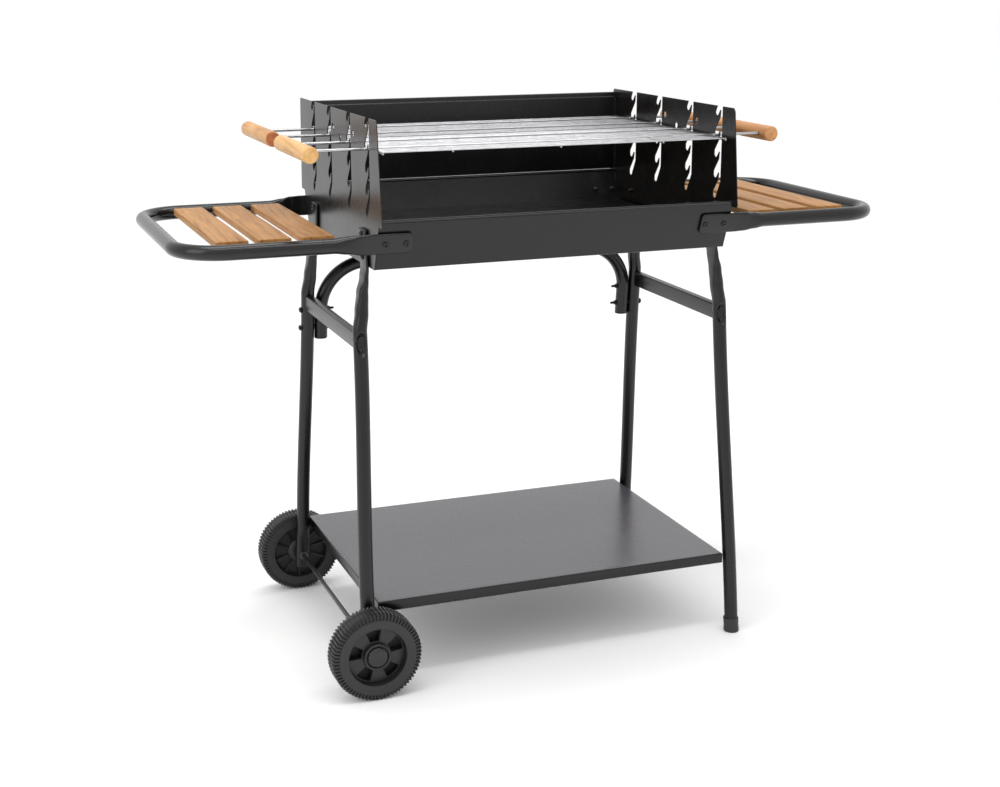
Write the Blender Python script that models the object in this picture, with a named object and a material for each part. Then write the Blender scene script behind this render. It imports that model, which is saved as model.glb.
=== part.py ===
"""Charcoal barbecue cart: a folded fire trough between two notched end plates, carried by four
tube legs, with two height-adjustable cooking grates, two wooden side trays, a shelf and two wheels.

Metres, +Z up. The origin is on the floor under the trough's centre, +X along the trough (towards
the rubber feet), -Y towards the cook.
"""
import math

import bmesh
import bpy
from mathutils import Matrix, Vector

GAP = 0.0003            # clearance kept between touching pieces
SIDES = (("left", -1), ("right", 1))
ROWS = (("front", -1), ("rear", 1))

DATUM_Z = 0.004         # all heights below are measured from this level above the floor

# Fire trough, a folded sheet channel along X
SHEET = 0.0013
TROUGH_HALF_X = 0.321
TROUGH_FLOOR_Z = 0.7265
TROUGH_RIM_Z = 0.8135
TROUGH_FLOOR_HALF_Y = 0.214
TROUGH_RIM_HALF_Y = 0.248
BEAD_RADIUS = 0.0031
BEAD_SIDES = 10
WALL_SLOPE = (TROUGH_RIM_HALF_Y - TROUGH_FLOOR_HALF_Y) / (TROUGH_RIM_Z - TROUGH_FLOOR_Z)
WALL_TILT = math.atan(WALL_SLOPE)

# Notched end plates
PLATE_IN_X = TROUGH_HALF_X + GAP
PLATE_THICK = 0.0015
PLATE_OUT_X = PLATE_IN_X + PLATE_THICK
PLATE_TOP_Z = 0.972
EAR_Z = 0.802
NOTCH_COUNT = 5
NOTCH_PITCH = 0.0365
TOP_NOTCH_Z = 0.955
NOTCH_CENTRE = 0.019
SPIT_HOLES = ((0.025, 0.939), (-0.102, 0.939))
SPIT_HOLE_RADIUS = 0.006
OVAL_HOLE = (-0.022, 0.924)
OVAL_RADIUS = 0.0055
OVAL_STRETCH = 1.3

# Cooking grates
WIRE_PITCH = 0.0138
WIRES_EACH_SIDE = 8
WIRE = 0.0032
ROD_STEPS = 4
ROD_RADIUS = 0.0025
ROD_ENDS_X = (-0.436, 0.425)
USED_NOTCH = 1
ROD_Z = TOP_NOTCH_Z - USED_NOTCH * NOTCH_PITCH + ROD_RADIUS + GAP
GRATE_CENTRE_Y = {"front": -0.124, "rear": 0.112}
GRATE_LOW_Z = ROD_Z - 0.0046
GRATE_HIGH_Z = ROD_Z - 0.0004
CROSS_WIRES_X = (-0.31, -0.19, 0.0, 0.19, 0.31)

# Charcoal grate
COAL_HALF_X = 0.312
COAL_HALF_Y = 0.2234
COAL_LOW_Z = 0.7555
COAL_THICK = 0.0015
COAL_SLOT_WIDTH = 0.012
COAL_SLOT_PITCH = 0.056
COAL_SLOT_Y = (0.012, 0.095)

# Wooden grate handles
HANDLE_X = {"left": -0.430, "right": 0.419}
HANDLE_RADIUS = 0.0135
HANDLE_LENGTH = 0.200
HANDLE_CENTRE_Y = {
    ("left", "front"): -0.139,
    ("right", "front"): -0.102,
    ("left", "rear"): 0.1225,
    ("right", "rear"): 0.1150,
}

# Tube frame
TUBE_RADIUS = 0.0125
TUBE_SIDES = 14
LEG_TOP_Z = 0.788
LEG_AXIS_TOP_Z = 0.8
LEG_AXIS_X = 0.335
LEG_AXIS_Y = 0.158
LEG_SPLAY_X = 0.020
LEG_SPLAY_Y = 0.0845
LEG_FLAT_HALF = 0.0195
LEG_FLAT_THICK = 0.005
AXLE_Z = 0.075
AXLE_X = -0.353
AXLE_RADIUS = 0.004
CROSSBAR_Z = 0.599
CROSSBAR_HALF_Z = 0.014
CROSSBAR_DEPTH = 0.014
CROSSBAR_SHEET = 0.0018
ARCH_X = 0.3145
ARCH_END_Z = 0.526
ARCH_TOP_Z = 0.671
ARCH_BEND = 0.090
ARCH_BOLTS_Z = (0.549, 0.584)

# Shelf
SHELF_HALF_X = 0.335
SHELF_FRONT_Y = -0.234
SHELF_REAR_Y = 0.246
SHELF_TOP_Z = 0.151
SHELF_FLANGE = 0.019
SHELF_SHEET = 0.0014

# Wheels and feet
WHEEL_RADIUS = AXLE_Z + DATUM_Z
WHEEL_WIDTH = 0.046
WHEEL_INNER_Y = 0.248
FOOT_RADIUS = 0.0145
FOOT_HEIGHT = 0.0225

# Side trays
TRAY_OUT_X = 0.639
TRAY_Y = 0.229
TRAY_Z = 0.7735
TRAY_BEND = 0.078
TRAY_FLAT_X = 0.265
TRAY_ROUND_X = 0.390
TRAY_FLAT_Z = 0.774
SLAT_X = (0.4105, 0.4810, 0.5515)
SLAT_RAIL_X = 0.387
SLAT_HALF_X = 0.0265
SLAT_HALF_Y = 0.196
SLAT_LOW_Z = 0.7735
SLAT_THICK = 0.012

# Fasteners
BOLT_RADIUS = 0.0025
BOLT_HOLE_RADIUS = 0.0029
BOLT_HEAD_RADIUS = 0.0058
BOLT_HEAD_HEIGHT = 0.0036
TRAY_BOLTS_X = (0.274, 0.310)
LEG_BOLTS_Z = (0.742, 0.780)


def clear_scene():
    for item in list(bpy.data.objects):
        bpy.data.objects.remove(item, do_unlink=True)


def material(name, colour, roughness, metallic):
    made = bpy.data.materials.new(name)
    made.use_nodes = True
    shader = made.node_tree.nodes["Principled BSDF"]
    shader.inputs["Base Color"].default_value = (*colour, 1.0)
    shader.inputs["Roughness"].default_value = roughness
    shader.inputs["Metallic"].default_value = metallic
    return made


FINISHES = {
    "powder": ((0.035, 0.035, 0.037), 0.42, 0.2),
    "chrome": ((0.78, 0.78, 0.79), 0.18, 1.0),
    "beech": ((0.80, 0.55, 0.30), 0.5, 0.0),
    "slat_wood": ((0.62, 0.38, 0.20), 0.55, 0.0),
    "plastic": ((0.03, 0.03, 0.032), 0.5, 0.0),
    "rubber": ((0.05, 0.05, 0.05), 0.7, 0.0),
    "bolt": ((0.06, 0.06, 0.065), 0.35, 0.8),
}


def finish_object(name, builder, finish):
    """One named object from a bmesh, with its own material."""
    bmesh.ops.recalc_face_normals(builder, faces=builder.faces[:])
    mesh = bpy.data.meshes.new(name)
    builder.to_mesh(mesh)
    builder.free()
    made = bpy.data.objects.new(name, mesh)
    bpy.context.scene.collection.objects.link(made)
    colour, roughness, metallic = FINISHES[finish]
    mesh.materials.append(material(name + "_finish", colour, roughness, metallic))
    mesh.shade_smooth()
    mesh.set_sharp_from_angle(angle=math.radians(35))
    return made


def prism(builder, outline, axis, low, high):
    """Extrude a closed outline, given in the other two axes in X, Y, Z order, along one axis."""

    def place(pair, along):
        point = list(pair)
        point.insert(axis, along)
        return Vector(point)

    start = [builder.verts.new(place(pair, low)) for pair in outline]
    end = [builder.verts.new(place(pair, high)) for pair in outline]
    count = len(outline)
    builder.faces.new(start)
    builder.faces.new(end[::-1])
    for i in range(count):
        j = (i + 1) % count
        builder.faces.new((start[i], start[j], end[j], end[i]))


def loft(builder, rings):
    """Bridge rings of equal count and cap both ends."""
    loops = [[builder.verts.new(point) for point in ring] for ring in rings]
    count = len(loops[0])
    for near, far in zip(loops, loops[1:]):
        for i in range(count):
            j = (i + 1) % count
            builder.faces.new((near[i], near[j], far[j], far[i]))
    builder.faces.new(loops[0])
    builder.faces.new(loops[-1][::-1])


def ring(centre, across, up, half_across, half_up, count=TUBE_SIDES):
    """An oval ring; a flattened tube's ring is squarer than an ellipse."""
    small, large = sorted((half_across, half_up))
    power = 1.0 - 0.45 * (1.0 - small / large)
    points = []
    for i in range(count):
        angle = 2 * math.pi * (i + 0.5) / count
        c, s = math.cos(angle), math.sin(angle)
        a = math.copysign(abs(c) ** power, c) * half_across
        b = math.copysign(abs(s) ** power, s) * half_up
        points.append(Vector(centre) + Vector(across) * a + Vector(up) * b)
    return points


def turned(builder, profile, count, matrix):
    """Revolve (height, radius) points about the local Z axis; a radius of 0 closes on the axis."""
    loops = []
    for height, radius in profile:
        if radius == 0:
            loops.append([builder.verts.new(matrix @ Vector((0, 0, height)))])
            continue
        loop = []
        for i in range(count):
            angle = 2 * math.pi * i / count
            local = Vector((radius * math.cos(angle), radius * math.sin(angle), height))
            loop.append(builder.verts.new(matrix @ local))
        loops.append(loop)
    if profile[0][1] != 0:
        loops.append(loops[0])
    for near, far in zip(loops, loops[1:]):
        for i in range(count):
            j = (i + 1) % count
            corners = [near[i % len(near)], near[j % len(near)], far[j % len(far)], far[i % len(far)]]
            builder.faces.new(list(dict.fromkeys(corners)))


def frame_along(direction, centre):
    """A matrix whose local Z runs along a direction and whose origin is the centre."""
    turn = Vector((0, 0, 1)).rotation_difference(Vector(direction)).to_matrix().to_4x4()
    return Matrix.Translation(Vector(centre)) @ turn


def cut(target, name, pins):
    """Drill holes: each pin is (start, end, radius, sides), with a stretch last for an oval one."""
    builder = bmesh.new()
    for start, end, radius, count, *stretch in pins:
        length = (Vector(end) - Vector(start)).length
        matrix = frame_along(Vector(end) - Vector(start), start)
        if stretch:
            matrix = matrix @ Matrix.Scale(stretch[0], 4, (1, 0, 0))
        turned(builder, ((0, 0), (0, radius), (length, radius), (length, 0)), count, matrix)
    cutter = finish_object(name, builder, "bolt")
    cutter.hide_render = True
    cutter.display_type = "WIRE"
    hole = target.modifiers.new("holes", "BOOLEAN")
    hole.operation = "DIFFERENCE"
    hole.object = cutter
    hole.solver = "EXACT"


def wall_y(z):
    """Outer face of the trough's inclined wall."""
    return TROUGH_FLOOR_HALF_Y + (z - TROUGH_FLOOR_Z) * WALL_SLOPE


def leg_axis(side, row, z):
    """A leg's axis leans outward from the end plate down to the floor."""
    drop = (LEG_AXIS_TOP_Z - z) / LEG_AXIS_TOP_Z
    x = LEG_AXIS_X + LEG_SPLAY_X * drop
    y = LEG_AXIS_Y + LEG_SPLAY_Y * drop
    return Vector((side * x, row * y, z))


def tray_bolt_line(side, row, x):
    """Centre on the wall's outer face and the wall's outward normal."""
    normal = Vector((0, row * math.cos(WALL_TILT), -math.sin(WALL_TILT)))
    return Vector((side * x, row * wall_y(TRAY_FLAT_Z), TRAY_FLAT_Z)), normal


def tray_bolt_holes(sides, rows):
    pins = []
    for side in sides:
        for row in rows:
            for x in TRAY_BOLTS_X:
                face, normal = tray_bolt_line(side, row, x)
                pins.append((face - normal * 0.008, face + normal * 0.014, BOLT_HOLE_RADIUS, 8))
    return pins


def leg_bolt_point(side, row, z):
    """Leg bolts run along X through the flattened leg top and the end plate."""
    return Vector((side * (PLATE_OUT_X + GAP + LEG_FLAT_THICK), leg_axis(1, row, z).y, z))


def leg_bolt_holes(side, rows):
    pins = []
    for row in rows:
        for z in LEG_BOLTS_Z:
            outer = leg_bolt_point(side, row, z)
            step = Vector((side * 0.020, 0, 0))
            pins.append((outer - step, outer + step, BOLT_HOLE_RADIUS, 8))
    return pins


def arch_bolt_ends(side, z):
    """Arch bolts run along X through the rear leg and the arch tube beside it."""
    leg = leg_axis(side, 1, z)
    outer = Vector((leg.x + side * (TUBE_RADIUS + GAP), leg.y, z))
    inner = Vector((side * (ARCH_X - TUBE_RADIUS - 0.009), leg.y, z))
    return outer, inner


def trough():
    """Open channel with a rolled bead along both rims."""
    inset = SHEET / math.cos(WALL_TILT)
    bead_z = TROUGH_RIM_Z - BEAD_RADIUS
    bead_y = wall_y(bead_z) - inset / 2
    corner = 0.002
    half = [(TROUGH_FLOOR_HALF_Y - corner, TROUGH_FLOOR_Z)]
    half.append((wall_y(TROUGH_FLOOR_Z + corner), TROUGH_FLOOR_Z + corner))
    # the bead's arc starts on the wall's outer face and ends on its inner face
    start = math.asin(SHEET / 2 / BEAD_RADIUS)
    for step in range(BEAD_SIDES + 1):
        turn = start + (math.tau - 2 * start) * step / BEAD_SIDES - WALL_TILT
        half.append((bead_y + BEAD_RADIUS * math.sin(turn), bead_z - BEAD_RADIUS * math.cos(turn)))
    floor_z = TROUGH_FLOOR_Z + SHEET
    half.append((wall_y(floor_z) - inset, floor_z))
    outline = half + [(-y, z) for y, z in reversed(half)]
    builder = bmesh.new()
    prism(builder, outline, 0, -TROUGH_HALF_X, TROUGH_HALF_X)
    made = finish_object("trough", builder, "powder")
    cut(made, "trough_bolt_holes", tray_bolt_holes((-1, 1), (-1, 1)))
    return made


def windshield():
    """Rear panel above the trough's rear rim, with its top edge folded back."""
    front, back = 0.2444, 0.2457
    low, high = TROUGH_RIM_Z + GAP + 0.0002, 0.9665
    lip = 0.0105
    outline = [(front, low), (back, low), (back, high - 0.004), (back + 0.0010, high - 0.0016)]
    outline += [(back + lip, high - 0.0026), (back + lip, high - 0.0012)]
    outline += [(back + 0.001, high), (front + 0.0012, high - 0.0006), (front, high - 0.003)]
    builder = bmesh.new()
    prism(builder, outline, 0, -TROUGH_HALF_X, TROUGH_HALF_X)
    return finish_object("windshield", builder, "powder")


def notched_slot(front_y):
    """One slot's edge from its rear top corner down its toothed rear side and up its front side."""
    points = [(front_y + 0.0200, PLATE_TOP_Z), (front_y + 0.0250, TOP_NOTCH_Z + 0.0085)]
    for step in range(NOTCH_COUNT):
        z = TOP_NOTCH_Z - step * NOTCH_PITCH
        if step:
            points.append((front_y + 0.0260, z + 0.0120))
        points.append((front_y + 0.0262, z + 0.0045))
        points.append((front_y + NOTCH_CENTRE + 0.0048, z + 0.0012))
        points.append((front_y + NOTCH_CENTRE + 0.0014, z))
        if step == NOTCH_COUNT - 1:
            break
        points.append((front_y + NOTCH_CENTRE - 0.0026, z + 0.0008))
        points.append((front_y + 0.0085, z + 0.0105))
        points.append((front_y + 0.0070, z + 0.0095))
        points.append((front_y + 0.0088, z - 0.0030))
    low = TOP_NOTCH_Z - (NOTCH_COUNT - 1) * NOTCH_PITCH
    points.append((front_y + NOTCH_CENTRE - 0.0026, low + 0.0012))
    points.append((front_y, low + 0.0310))
    points.append((front_y, PLATE_TOP_Z))
    return points


def slot_fronts():
    """Front edge of each slot, rear slot first, so that a rod rests in every notch centre."""
    offsets = (ROD_STEPS * WIRE_PITCH, -ROD_STEPS * WIRE_PITCH)
    return [GRATE_CENTRE_Y[row] + d - NOTCH_CENTRE for row in ("rear", "front") for d in offsets]


def end_plate(label, side):
    """Upright plate with four notched slots; below the ears it follows the trough's section."""
    outline = [(-0.2370, PLATE_TOP_Z), (-0.2420, PLATE_TOP_Z - 0.006)]
    outline += [(-0.2620, EAR_Z + 0.004), (-0.2600, EAR_Z), (-wall_y(EAR_Z) + GAP, EAR_Z)]
    low = TROUGH_FLOOR_Z
    outline += [(-wall_y(low) + GAP, low), (wall_y(low) - GAP, low)]
    outline += [(wall_y(EAR_Z) - GAP, EAR_Z), (0.2630, EAR_Z), (0.2650, EAR_Z + 0.004)]
    outline += [(0.2560, PLATE_TOP_Z - 0.003), (0.2530, PLATE_TOP_Z)]
    for front_y in slot_fronts():
        outline += notched_slot(front_y)
    inner, outer = sorted((side * PLATE_IN_X, side * PLATE_OUT_X))
    builder = bmesh.new()
    prism(builder, outline, 0, inner, outer)
    made = finish_object(label + "_end_plate", builder, "powder")
    pins = leg_bolt_holes(side, (-1, 1))
    start_x, end_x = side * (PLATE_IN_X - 0.006), side * (PLATE_OUT_X + 0.006)
    for y, z in SPIT_HOLES:
        pins.append(((start_x, y, z), (end_x, y, z), SPIT_HOLE_RADIUS, 16))
    y, z = OVAL_HOLE
    pins.append(((start_x, y, z), (end_x, y, z), OVAL_RADIUS, 16, OVAL_STRETCH))
    cut(made, label + "_plate_holes", pins)
    return made


def grid(builder, x_edges, y_edges, low, high, is_open):
    """A flat lattice: cells between edge lists are solid unless is_open(column, row)."""
    corners = {}

    def corner(i, j, level):
        key = (i, j, level)
        if key not in corners:
            corners[key] = builder.verts.new((x_edges[i], y_edges[j], (low, high)[level]))
        return corners[key]

    columns, rows = len(x_edges) - 1, len(y_edges) - 1

    def solid(i, j):
        return 0 <= i < columns and 0 <= j < rows and not is_open(i, j)

    for i in range(columns):
        for j in range(rows):
            if not solid(i, j):
                continue
            loop = ((i, j), (i + 1, j), (i + 1, j + 1), (i, j + 1))
            builder.faces.new([corner(a, b, 1) for a, b in loop])
            builder.faces.new([corner(a, b, 0) for a, b in reversed(loop)])
            beside = ((i, j - 1), (i + 1, j), (i, j + 1), (i - 1, j))
            for side in range(4):
                if not solid(*beside[side]):
                    a, b = loop[side], loop[(side + 1) % 4]
                    builder.faces.new((corner(*a, 0), corner(*b, 0), corner(*b, 1), corner(*a, 1)))


def bar_edges(centres, width):
    edges = []
    for centre in centres:
        edges += [centre - width / 2, centre + width / 2]
    return edges


def grate(row):
    """Wire lattice with two long rods that rest in the end plates' notches and carry the handles."""
    centre = GRATE_CENTRE_Y[row]
    steps = range(-WIRES_EACH_SIDE, WIRES_EACH_SIDE + 1)
    y_edges = bar_edges([centre + step * WIRE_PITCH for step in steps], WIRE)
    x_edges = bar_edges(CROSS_WIRES_X, WIRE)
    builder = bmesh.new()
    grid(builder, x_edges, y_edges, GRATE_LOW_Z, GRATE_HIGH_Z, lambda i, j: i % 2 == 1 and j % 2 == 1)
    made = finish_object(row + "_grate", builder, "chrome")
    rods = bmesh.new()
    for step in (-ROD_STEPS, ROD_STEPS):
        y = centre + step * WIRE_PITCH
        matrix = frame_along((1, 0, 0), (ROD_ENDS_X[0], y, ROD_Z))
        length = ROD_ENDS_X[1] - ROD_ENDS_X[0]
        profile = ((0, 0), (0, ROD_RADIUS), (length, ROD_RADIUS), (length, 0))
        turned(rods, profile, 10, matrix)
    rod_object = finish_object(row + "_grate_rods", rods, "chrome")
    rod_object.hide_render = True
    rod_object.display_type = "WIRE"
    join = made.modifiers.new("rods", "BOOLEAN")
    join.operation = "UNION"
    join.object = rod_object
    join.solver = "EXACT"
    return made


def grate_handle(label, side, row):
    """Turned wooden dowel with a blind hole for each of the grate's two rods."""
    centre = HANDLE_CENTRE_Y[(label, row)]
    start = centre - HANDLE_LENGTH / 2
    x = HANDLE_X[label]
    matrix = frame_along((0, 1, 0), (x, start, ROD_Z))
    edge = 0.0015
    profile = ((0, 0), (0, HANDLE_RADIUS - edge), (edge, HANDLE_RADIUS))
    profile += ((HANDLE_LENGTH - edge, HANDLE_RADIUS), (HANDLE_LENGTH, HANDLE_RADIUS - edge))
    profile += ((HANDLE_LENGTH, 0),)
    builder = bmesh.new()
    turned(builder, profile, 16, matrix)
    made = finish_object(row + "_grate_" + label + "_handle", builder, "beech")
    pins = []
    for step in (-ROD_STEPS, ROD_STEPS):
        y = GRATE_CENTRE_Y[row] + step * WIRE_PITCH
        inner = (x - side * (HANDLE_RADIUS + 0.005), y, ROD_Z)
        end = (ROD_ENDS_X[side > 0] + side * 0.001, y, ROD_Z)
        pins.append((inner, end, ROD_RADIUS + 0.0004, 8))
    cut(made, made.name + "_bores", pins)
    return made


def charcoal_grate():
    """Slotted sheet wedged between the trough's inclined walls above its floor."""
    columns = [COAL_SLOT_PITCH * (step - 4.5) for step in range(10)]
    x_edges = [-COAL_HALF_X] + bar_edges(columns, COAL_SLOT_WIDTH) + [COAL_HALF_X]
    near, far = COAL_SLOT_Y
    y_edges = [-COAL_HALF_Y, -far, -near, near, far, COAL_HALF_Y]

    def is_open(i, j):
        return i % 2 == 1 and j in (1, 3)

    builder = bmesh.new()
    grid(builder, x_edges, y_edges, COAL_LOW_Z, COAL_LOW_Z + COAL_THICK, is_open)
    return finish_object("charcoal_grate", builder, "powder")


def leg(label, side, row_label, row):
    """Tube leg with its top pressed flat on the end plate; a wheel leg's foot is pressed to an oval."""
    flat_x = PLATE_OUT_X + GAP + LEG_FLAT_THICK / 2
    half = LEG_FLAT_THICK / 2
    sections = [
        (LEG_TOP_Z, flat_x, half, LEG_FLAT_HALF - 0.003),
        (LEG_TOP_Z - 0.005, flat_x, half, LEG_FLAT_HALF),
        (0.722, flat_x, half, LEG_FLAT_HALF),
        (0.690, flat_x + 0.0060, 0.0075, 0.0165),
        (0.655, flat_x + 0.0088, 0.0108, 0.0138),
        (0.620, leg_axis(1, 1, 0.620).x, TUBE_RADIUS, TUBE_RADIUS),
    ]
    if label == "left":
        sections.append((0.135, leg_axis(1, 1, 0.135).x, TUBE_RADIUS, TUBE_RADIUS))
        sections.append((0.108, leg_axis(1, 1, 0.108).x, 0.0137, 0.0092))
        sections.append((0.050, leg_axis(1, 1, 0.050).x, 0.0137, 0.0092))
    else:
        sections.append((0.002, leg_axis(1, 1, 0.002).x, TUBE_RADIUS, TUBE_RADIUS))
    rings = []
    for z, x, half_x, half_y in sections:
        centre = (side * x, leg_axis(1, row, z).y, z)
        rings.append(ring(centre, (1, 0, 0), (0, 1, 0), half_x, half_y))
    builder = bmesh.new()
    loft(builder, rings)
    name = label + "_" + row_label + "_leg"
    made = finish_object(name, builder, "powder")
    pins = leg_bolt_holes(side, (row,))
    if row == 1:
        for z in ARCH_BOLTS_Z:
            outer, inner = arch_bolt_ends(side, z)
            pins.append((outer + Vector((side * 0.005, 0, 0)), inner, BOLT_HOLE_RADIUS, 8))
    if label == "left":
        y = leg_axis(1, row, AXLE_Z).y
        low, high = sorted((y - 0.018, y + 0.018))
        pins.append(((AXLE_X, low, AXLE_Z), (AXLE_X, high, AXLE_Z), AXLE_RADIUS + GAP, 12))
    cut(made, name + "_holes", pins)
    return made


def arch_brace():
    """One bent tube from rear leg to rear leg, with its level run under the trough."""
    centres = []
    bend_z = ARCH_TOP_Z - ARCH_BEND
    steps = 6
    flat = [(-ARCH_X, ARCH_END_Z, 0.0)]
    for step in range(steps + 1):
        turn = math.pi / 2 * step / steps
        x = -ARCH_X + ARCH_BEND * (1 - math.cos(turn))
        flat.append((x, bend_z + ARCH_BEND * math.sin(turn), turn))
    flat += [(-x, z, math.pi - turn) for x, z, turn in reversed(flat)]
    rings = []
    for x, z, turn in flat:
        centre = (x, leg_axis(1, 1, z).y, z)
        across = (-math.cos(turn), 0, math.sin(turn))
        rings.append(ring(centre, across, (0, 1, 0), TUBE_RADIUS, TUBE_RADIUS))
    builder = bmesh.new()
    loft(builder, rings)
    made = finish_object("arch_brace", builder, "powder")
    pins = []
    for _, side in SIDES:
        for z in ARCH_BOLTS_Z:
            outer, inner = arch_bolt_ends(side, z)
            pins.append((outer, inner - Vector((side * 0.005, 0, 0)), BOLT_HOLE_RADIUS, 8))
    cut(made, "arch_bolt_holes", pins)
    return made


def crossbar(label, side):
    """Channel between a front and a rear leg; both bars stand with their web towards -X."""
    web_x = side * leg_axis(1, 1, CROSSBAR_Z).x - CROSSBAR_DEPTH / 2
    low, high = CROSSBAR_Z - CROSSBAR_HALF_Z, CROSSBAR_Z + CROSSBAR_HALF_Z
    open_x, in_x = web_x + CROSSBAR_DEPTH, web_x + CROSSBAR_SHEET
    outline = [(web_x, low), (web_x, high), (open_x, high), (open_x, high - CROSSBAR_SHEET)]
    outline += [(in_x, high - CROSSBAR_SHEET), (in_x, low + CROSSBAR_SHEET)]
    outline += [(open_x, low + CROSSBAR_SHEET), (open_x, low)]
    reach = leg_axis(1, 1, high).y - TUBE_RADIUS * 1.02 - GAP
    # the outline is in X and Z, and the bar runs along Y
    builder = bmesh.new()
    prism(builder, outline, 1, -reach, reach)
    return finish_object(label + "_crossbar", builder, "powder")


def shelf():
    """Sheet panel with four flanges folded down."""
    low = SHELF_TOP_Z - SHELF_FLANGE
    fold = 0.002
    outside = ((0.0, low), (0.0, SHELF_TOP_Z - fold), (fold, SHELF_TOP_Z))
    inside = ((SHELF_SHEET, low), (SHELF_SHEET, SHELF_TOP_Z - SHELF_SHEET))
    builder = bmesh.new()
    loops = []
    for inset, z in outside + inside:
        x, front, rear = SHELF_HALF_X - inset, SHELF_FRONT_Y + inset, SHELF_REAR_Y - inset
        corners = ((-x, front), (x, front), (x, rear), (-x, rear))
        loops.append([builder.verts.new((*corner, z)) for corner in corners])
    foot, bend, top, inner_foot, inner_top = loops
    builder.faces.new(top)
    builder.faces.new(inner_top)
    for near, far in ((foot, bend), (bend, top), (foot, inner_foot), (inner_foot, inner_top)):
        for i in range(4):
            j = (i + 1) % 4
            builder.faces.new((near[i], near[j], far[j], far[i]))
    return finish_object("shelf", builder, "powder")


def axle():
    """Plain rod through both wheel legs; the wheels turn on its ends."""
    half = WHEEL_INNER_Y + 0.0397
    profile = ((0, 0), (0, AXLE_RADIUS), (2 * half, AXLE_RADIUS), (2 * half, 0))
    builder = bmesh.new()
    turned(builder, profile, 12, frame_along((0, 1, 0), (AXLE_X, -half, AXLE_Z)))
    return finish_object("axle", builder, "chrome")


def wheel(label, row):
    """Moulded wheel with a deep face recess, a raised hub ring and a bore; its origin is its axis."""
    tread = WHEEL_RADIUS
    boss = -0.0022
    profile = ((boss, AXLE_RADIUS + 0.0004), (boss, 0.012), (0.0, 0.018), (0.012, 0.020), (0.012, 0.050))
    profile += ((0.002, 0.058), (0.002, 0.070), (0.006, tread), (0.041, tread), (0.045, 0.070))
    profile += ((WHEEL_WIDTH, 0.066), (0.0445, 0.052), (0.034, 0.050), (0.034, 0.0265))
    profile += ((0.043, 0.0255), (0.043, 0.0188), (0.0400, 0.0186), (0.0400, AXLE_RADIUS + 0.0004))
    builder = bmesh.new()
    turned(builder, profile, 24, frame_along((0, row, 0), (0, row * WHEEL_INNER_Y, 0)))
    made = finish_object(label + "_wheel", builder, "plastic")
    made.location = (AXLE_X, 0, AXLE_Z)
    return made


def hub_cap(label, row):
    """Domed cap clipped into the wheel's hub over the axle's end."""
    profile = ((0.0403, 0), (0.0403, 0.0181), (0.0430, 0.0176), (0.0450, 0.0120), (0.0459, 0))
    builder = bmesh.new()
    turned(builder, profile, 16, frame_along((0, row, 0), (0, row * WHEEL_INNER_Y, 0)))
    made = finish_object(label + "_hub_cap", builder, "plastic")
    made.location = (AXLE_X, 0, AXLE_Z)
    return made


def rubber_foot(label, row):
    """Cup pushed over the lower end of a tube leg."""
    across, along = (1, 0, 0), (0, 1, 0)
    rings = []
    low = -DATUM_Z
    for z, radius in ((low, FOOT_RADIUS - 0.001), (low + 0.002, FOOT_RADIUS), (FOOT_HEIGHT, FOOT_RADIUS)):
        rings.append(ring(leg_axis(1, row, z), across, along, radius, radius))
    builder = bmesh.new()
    loft(builder, rings)
    made = finish_object("right_" + label + "_foot", builder, "rubber")
    inside = []
    for z in (0.0015, FOOT_HEIGHT + 0.010):
        inside.append(ring(leg_axis(1, row, z), across, along, TUBE_RADIUS + GAP, TUBE_RADIUS + GAP))
    socket = bmesh.new()
    loft(socket, inside)
    cutter = finish_object(made.name + "_socket", socket, "rubber")
    cutter.hide_render = True
    cutter.display_type = "WIRE"
    hole = made.modifiers.new("socket", "BOOLEAN")
    hole.operation = "DIFFERENCE"
    hole.object = cutter
    hole.solver = "EXACT"
    return made


def tray_frame(label, side):
    """U-shaped tube whose ends are pressed flat and bolted outside the trough's long walls."""
    up = (0, -math.sin(WALL_TILT), math.cos(WALL_TILT))
    out = (0, -math.cos(WALL_TILT), -math.sin(WALL_TILT))
    half_thick, half_tall = 0.0025, 0.0190
    stand = half_thick + GAP
    flat_y = -wall_y(TRAY_FLAT_Z) + stand * out[1]
    flat_z = TRAY_FLAT_Z + stand * out[2]
    level_up, level_out = (0, 0, 1), (0, -1, 0)
    rings = []
    ends = ((TRAY_FLAT_X, 0.0150), (TRAY_FLAT_X + 0.004, half_tall), (0.334, half_tall))
    for x, tall in ends:
        rings.append(ring((x, flat_y, flat_z), out, up, half_thick, tall))
    middle_out = Vector((0, -math.cos(WALL_TILT / 2), -math.sin(WALL_TILT / 2)))
    middle_up = Vector((0, -math.sin(WALL_TILT / 2), math.cos(WALL_TILT / 2)))
    rings.append(ring((0.362, -0.2330, 0.7737), middle_out, middle_up, 0.0080, 0.0158))
    rings.append(ring((TRAY_ROUND_X, -TRAY_Y, TRAY_Z), level_out, level_up, TUBE_RADIUS, TUBE_RADIUS))
    steps = 6
    corner_x, corner_y = TRAY_OUT_X - TRAY_BEND, -TRAY_Y + TRAY_BEND
    for step in range(steps + 1):
        turn = math.pi / 2 * step / steps
        outward = (math.sin(turn), -math.cos(turn), 0)
        centre = (corner_x + TRAY_BEND * outward[0], corner_y + TRAY_BEND * outward[1], TRAY_Z)
        rings.append(ring(centre, outward, level_up, TUBE_RADIUS, TUBE_RADIUS))
    # the rear half mirrors the front half, its rings run on in the same order round the tube
    rings += [[Vector((p.x, -p.y, p.z)) for p in points] for points in reversed(rings)]
    rings = [[Vector((side * p.x, p.y, p.z)) for p in points] for points in rings]
    builder = bmesh.new()
    loft(builder, rings)
    made = finish_object(label + "_tray_frame", builder, "powder")
    cut(made, label + "_tray_holes", tray_bolt_holes((side,), (-1, 1)))
    return made


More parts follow.
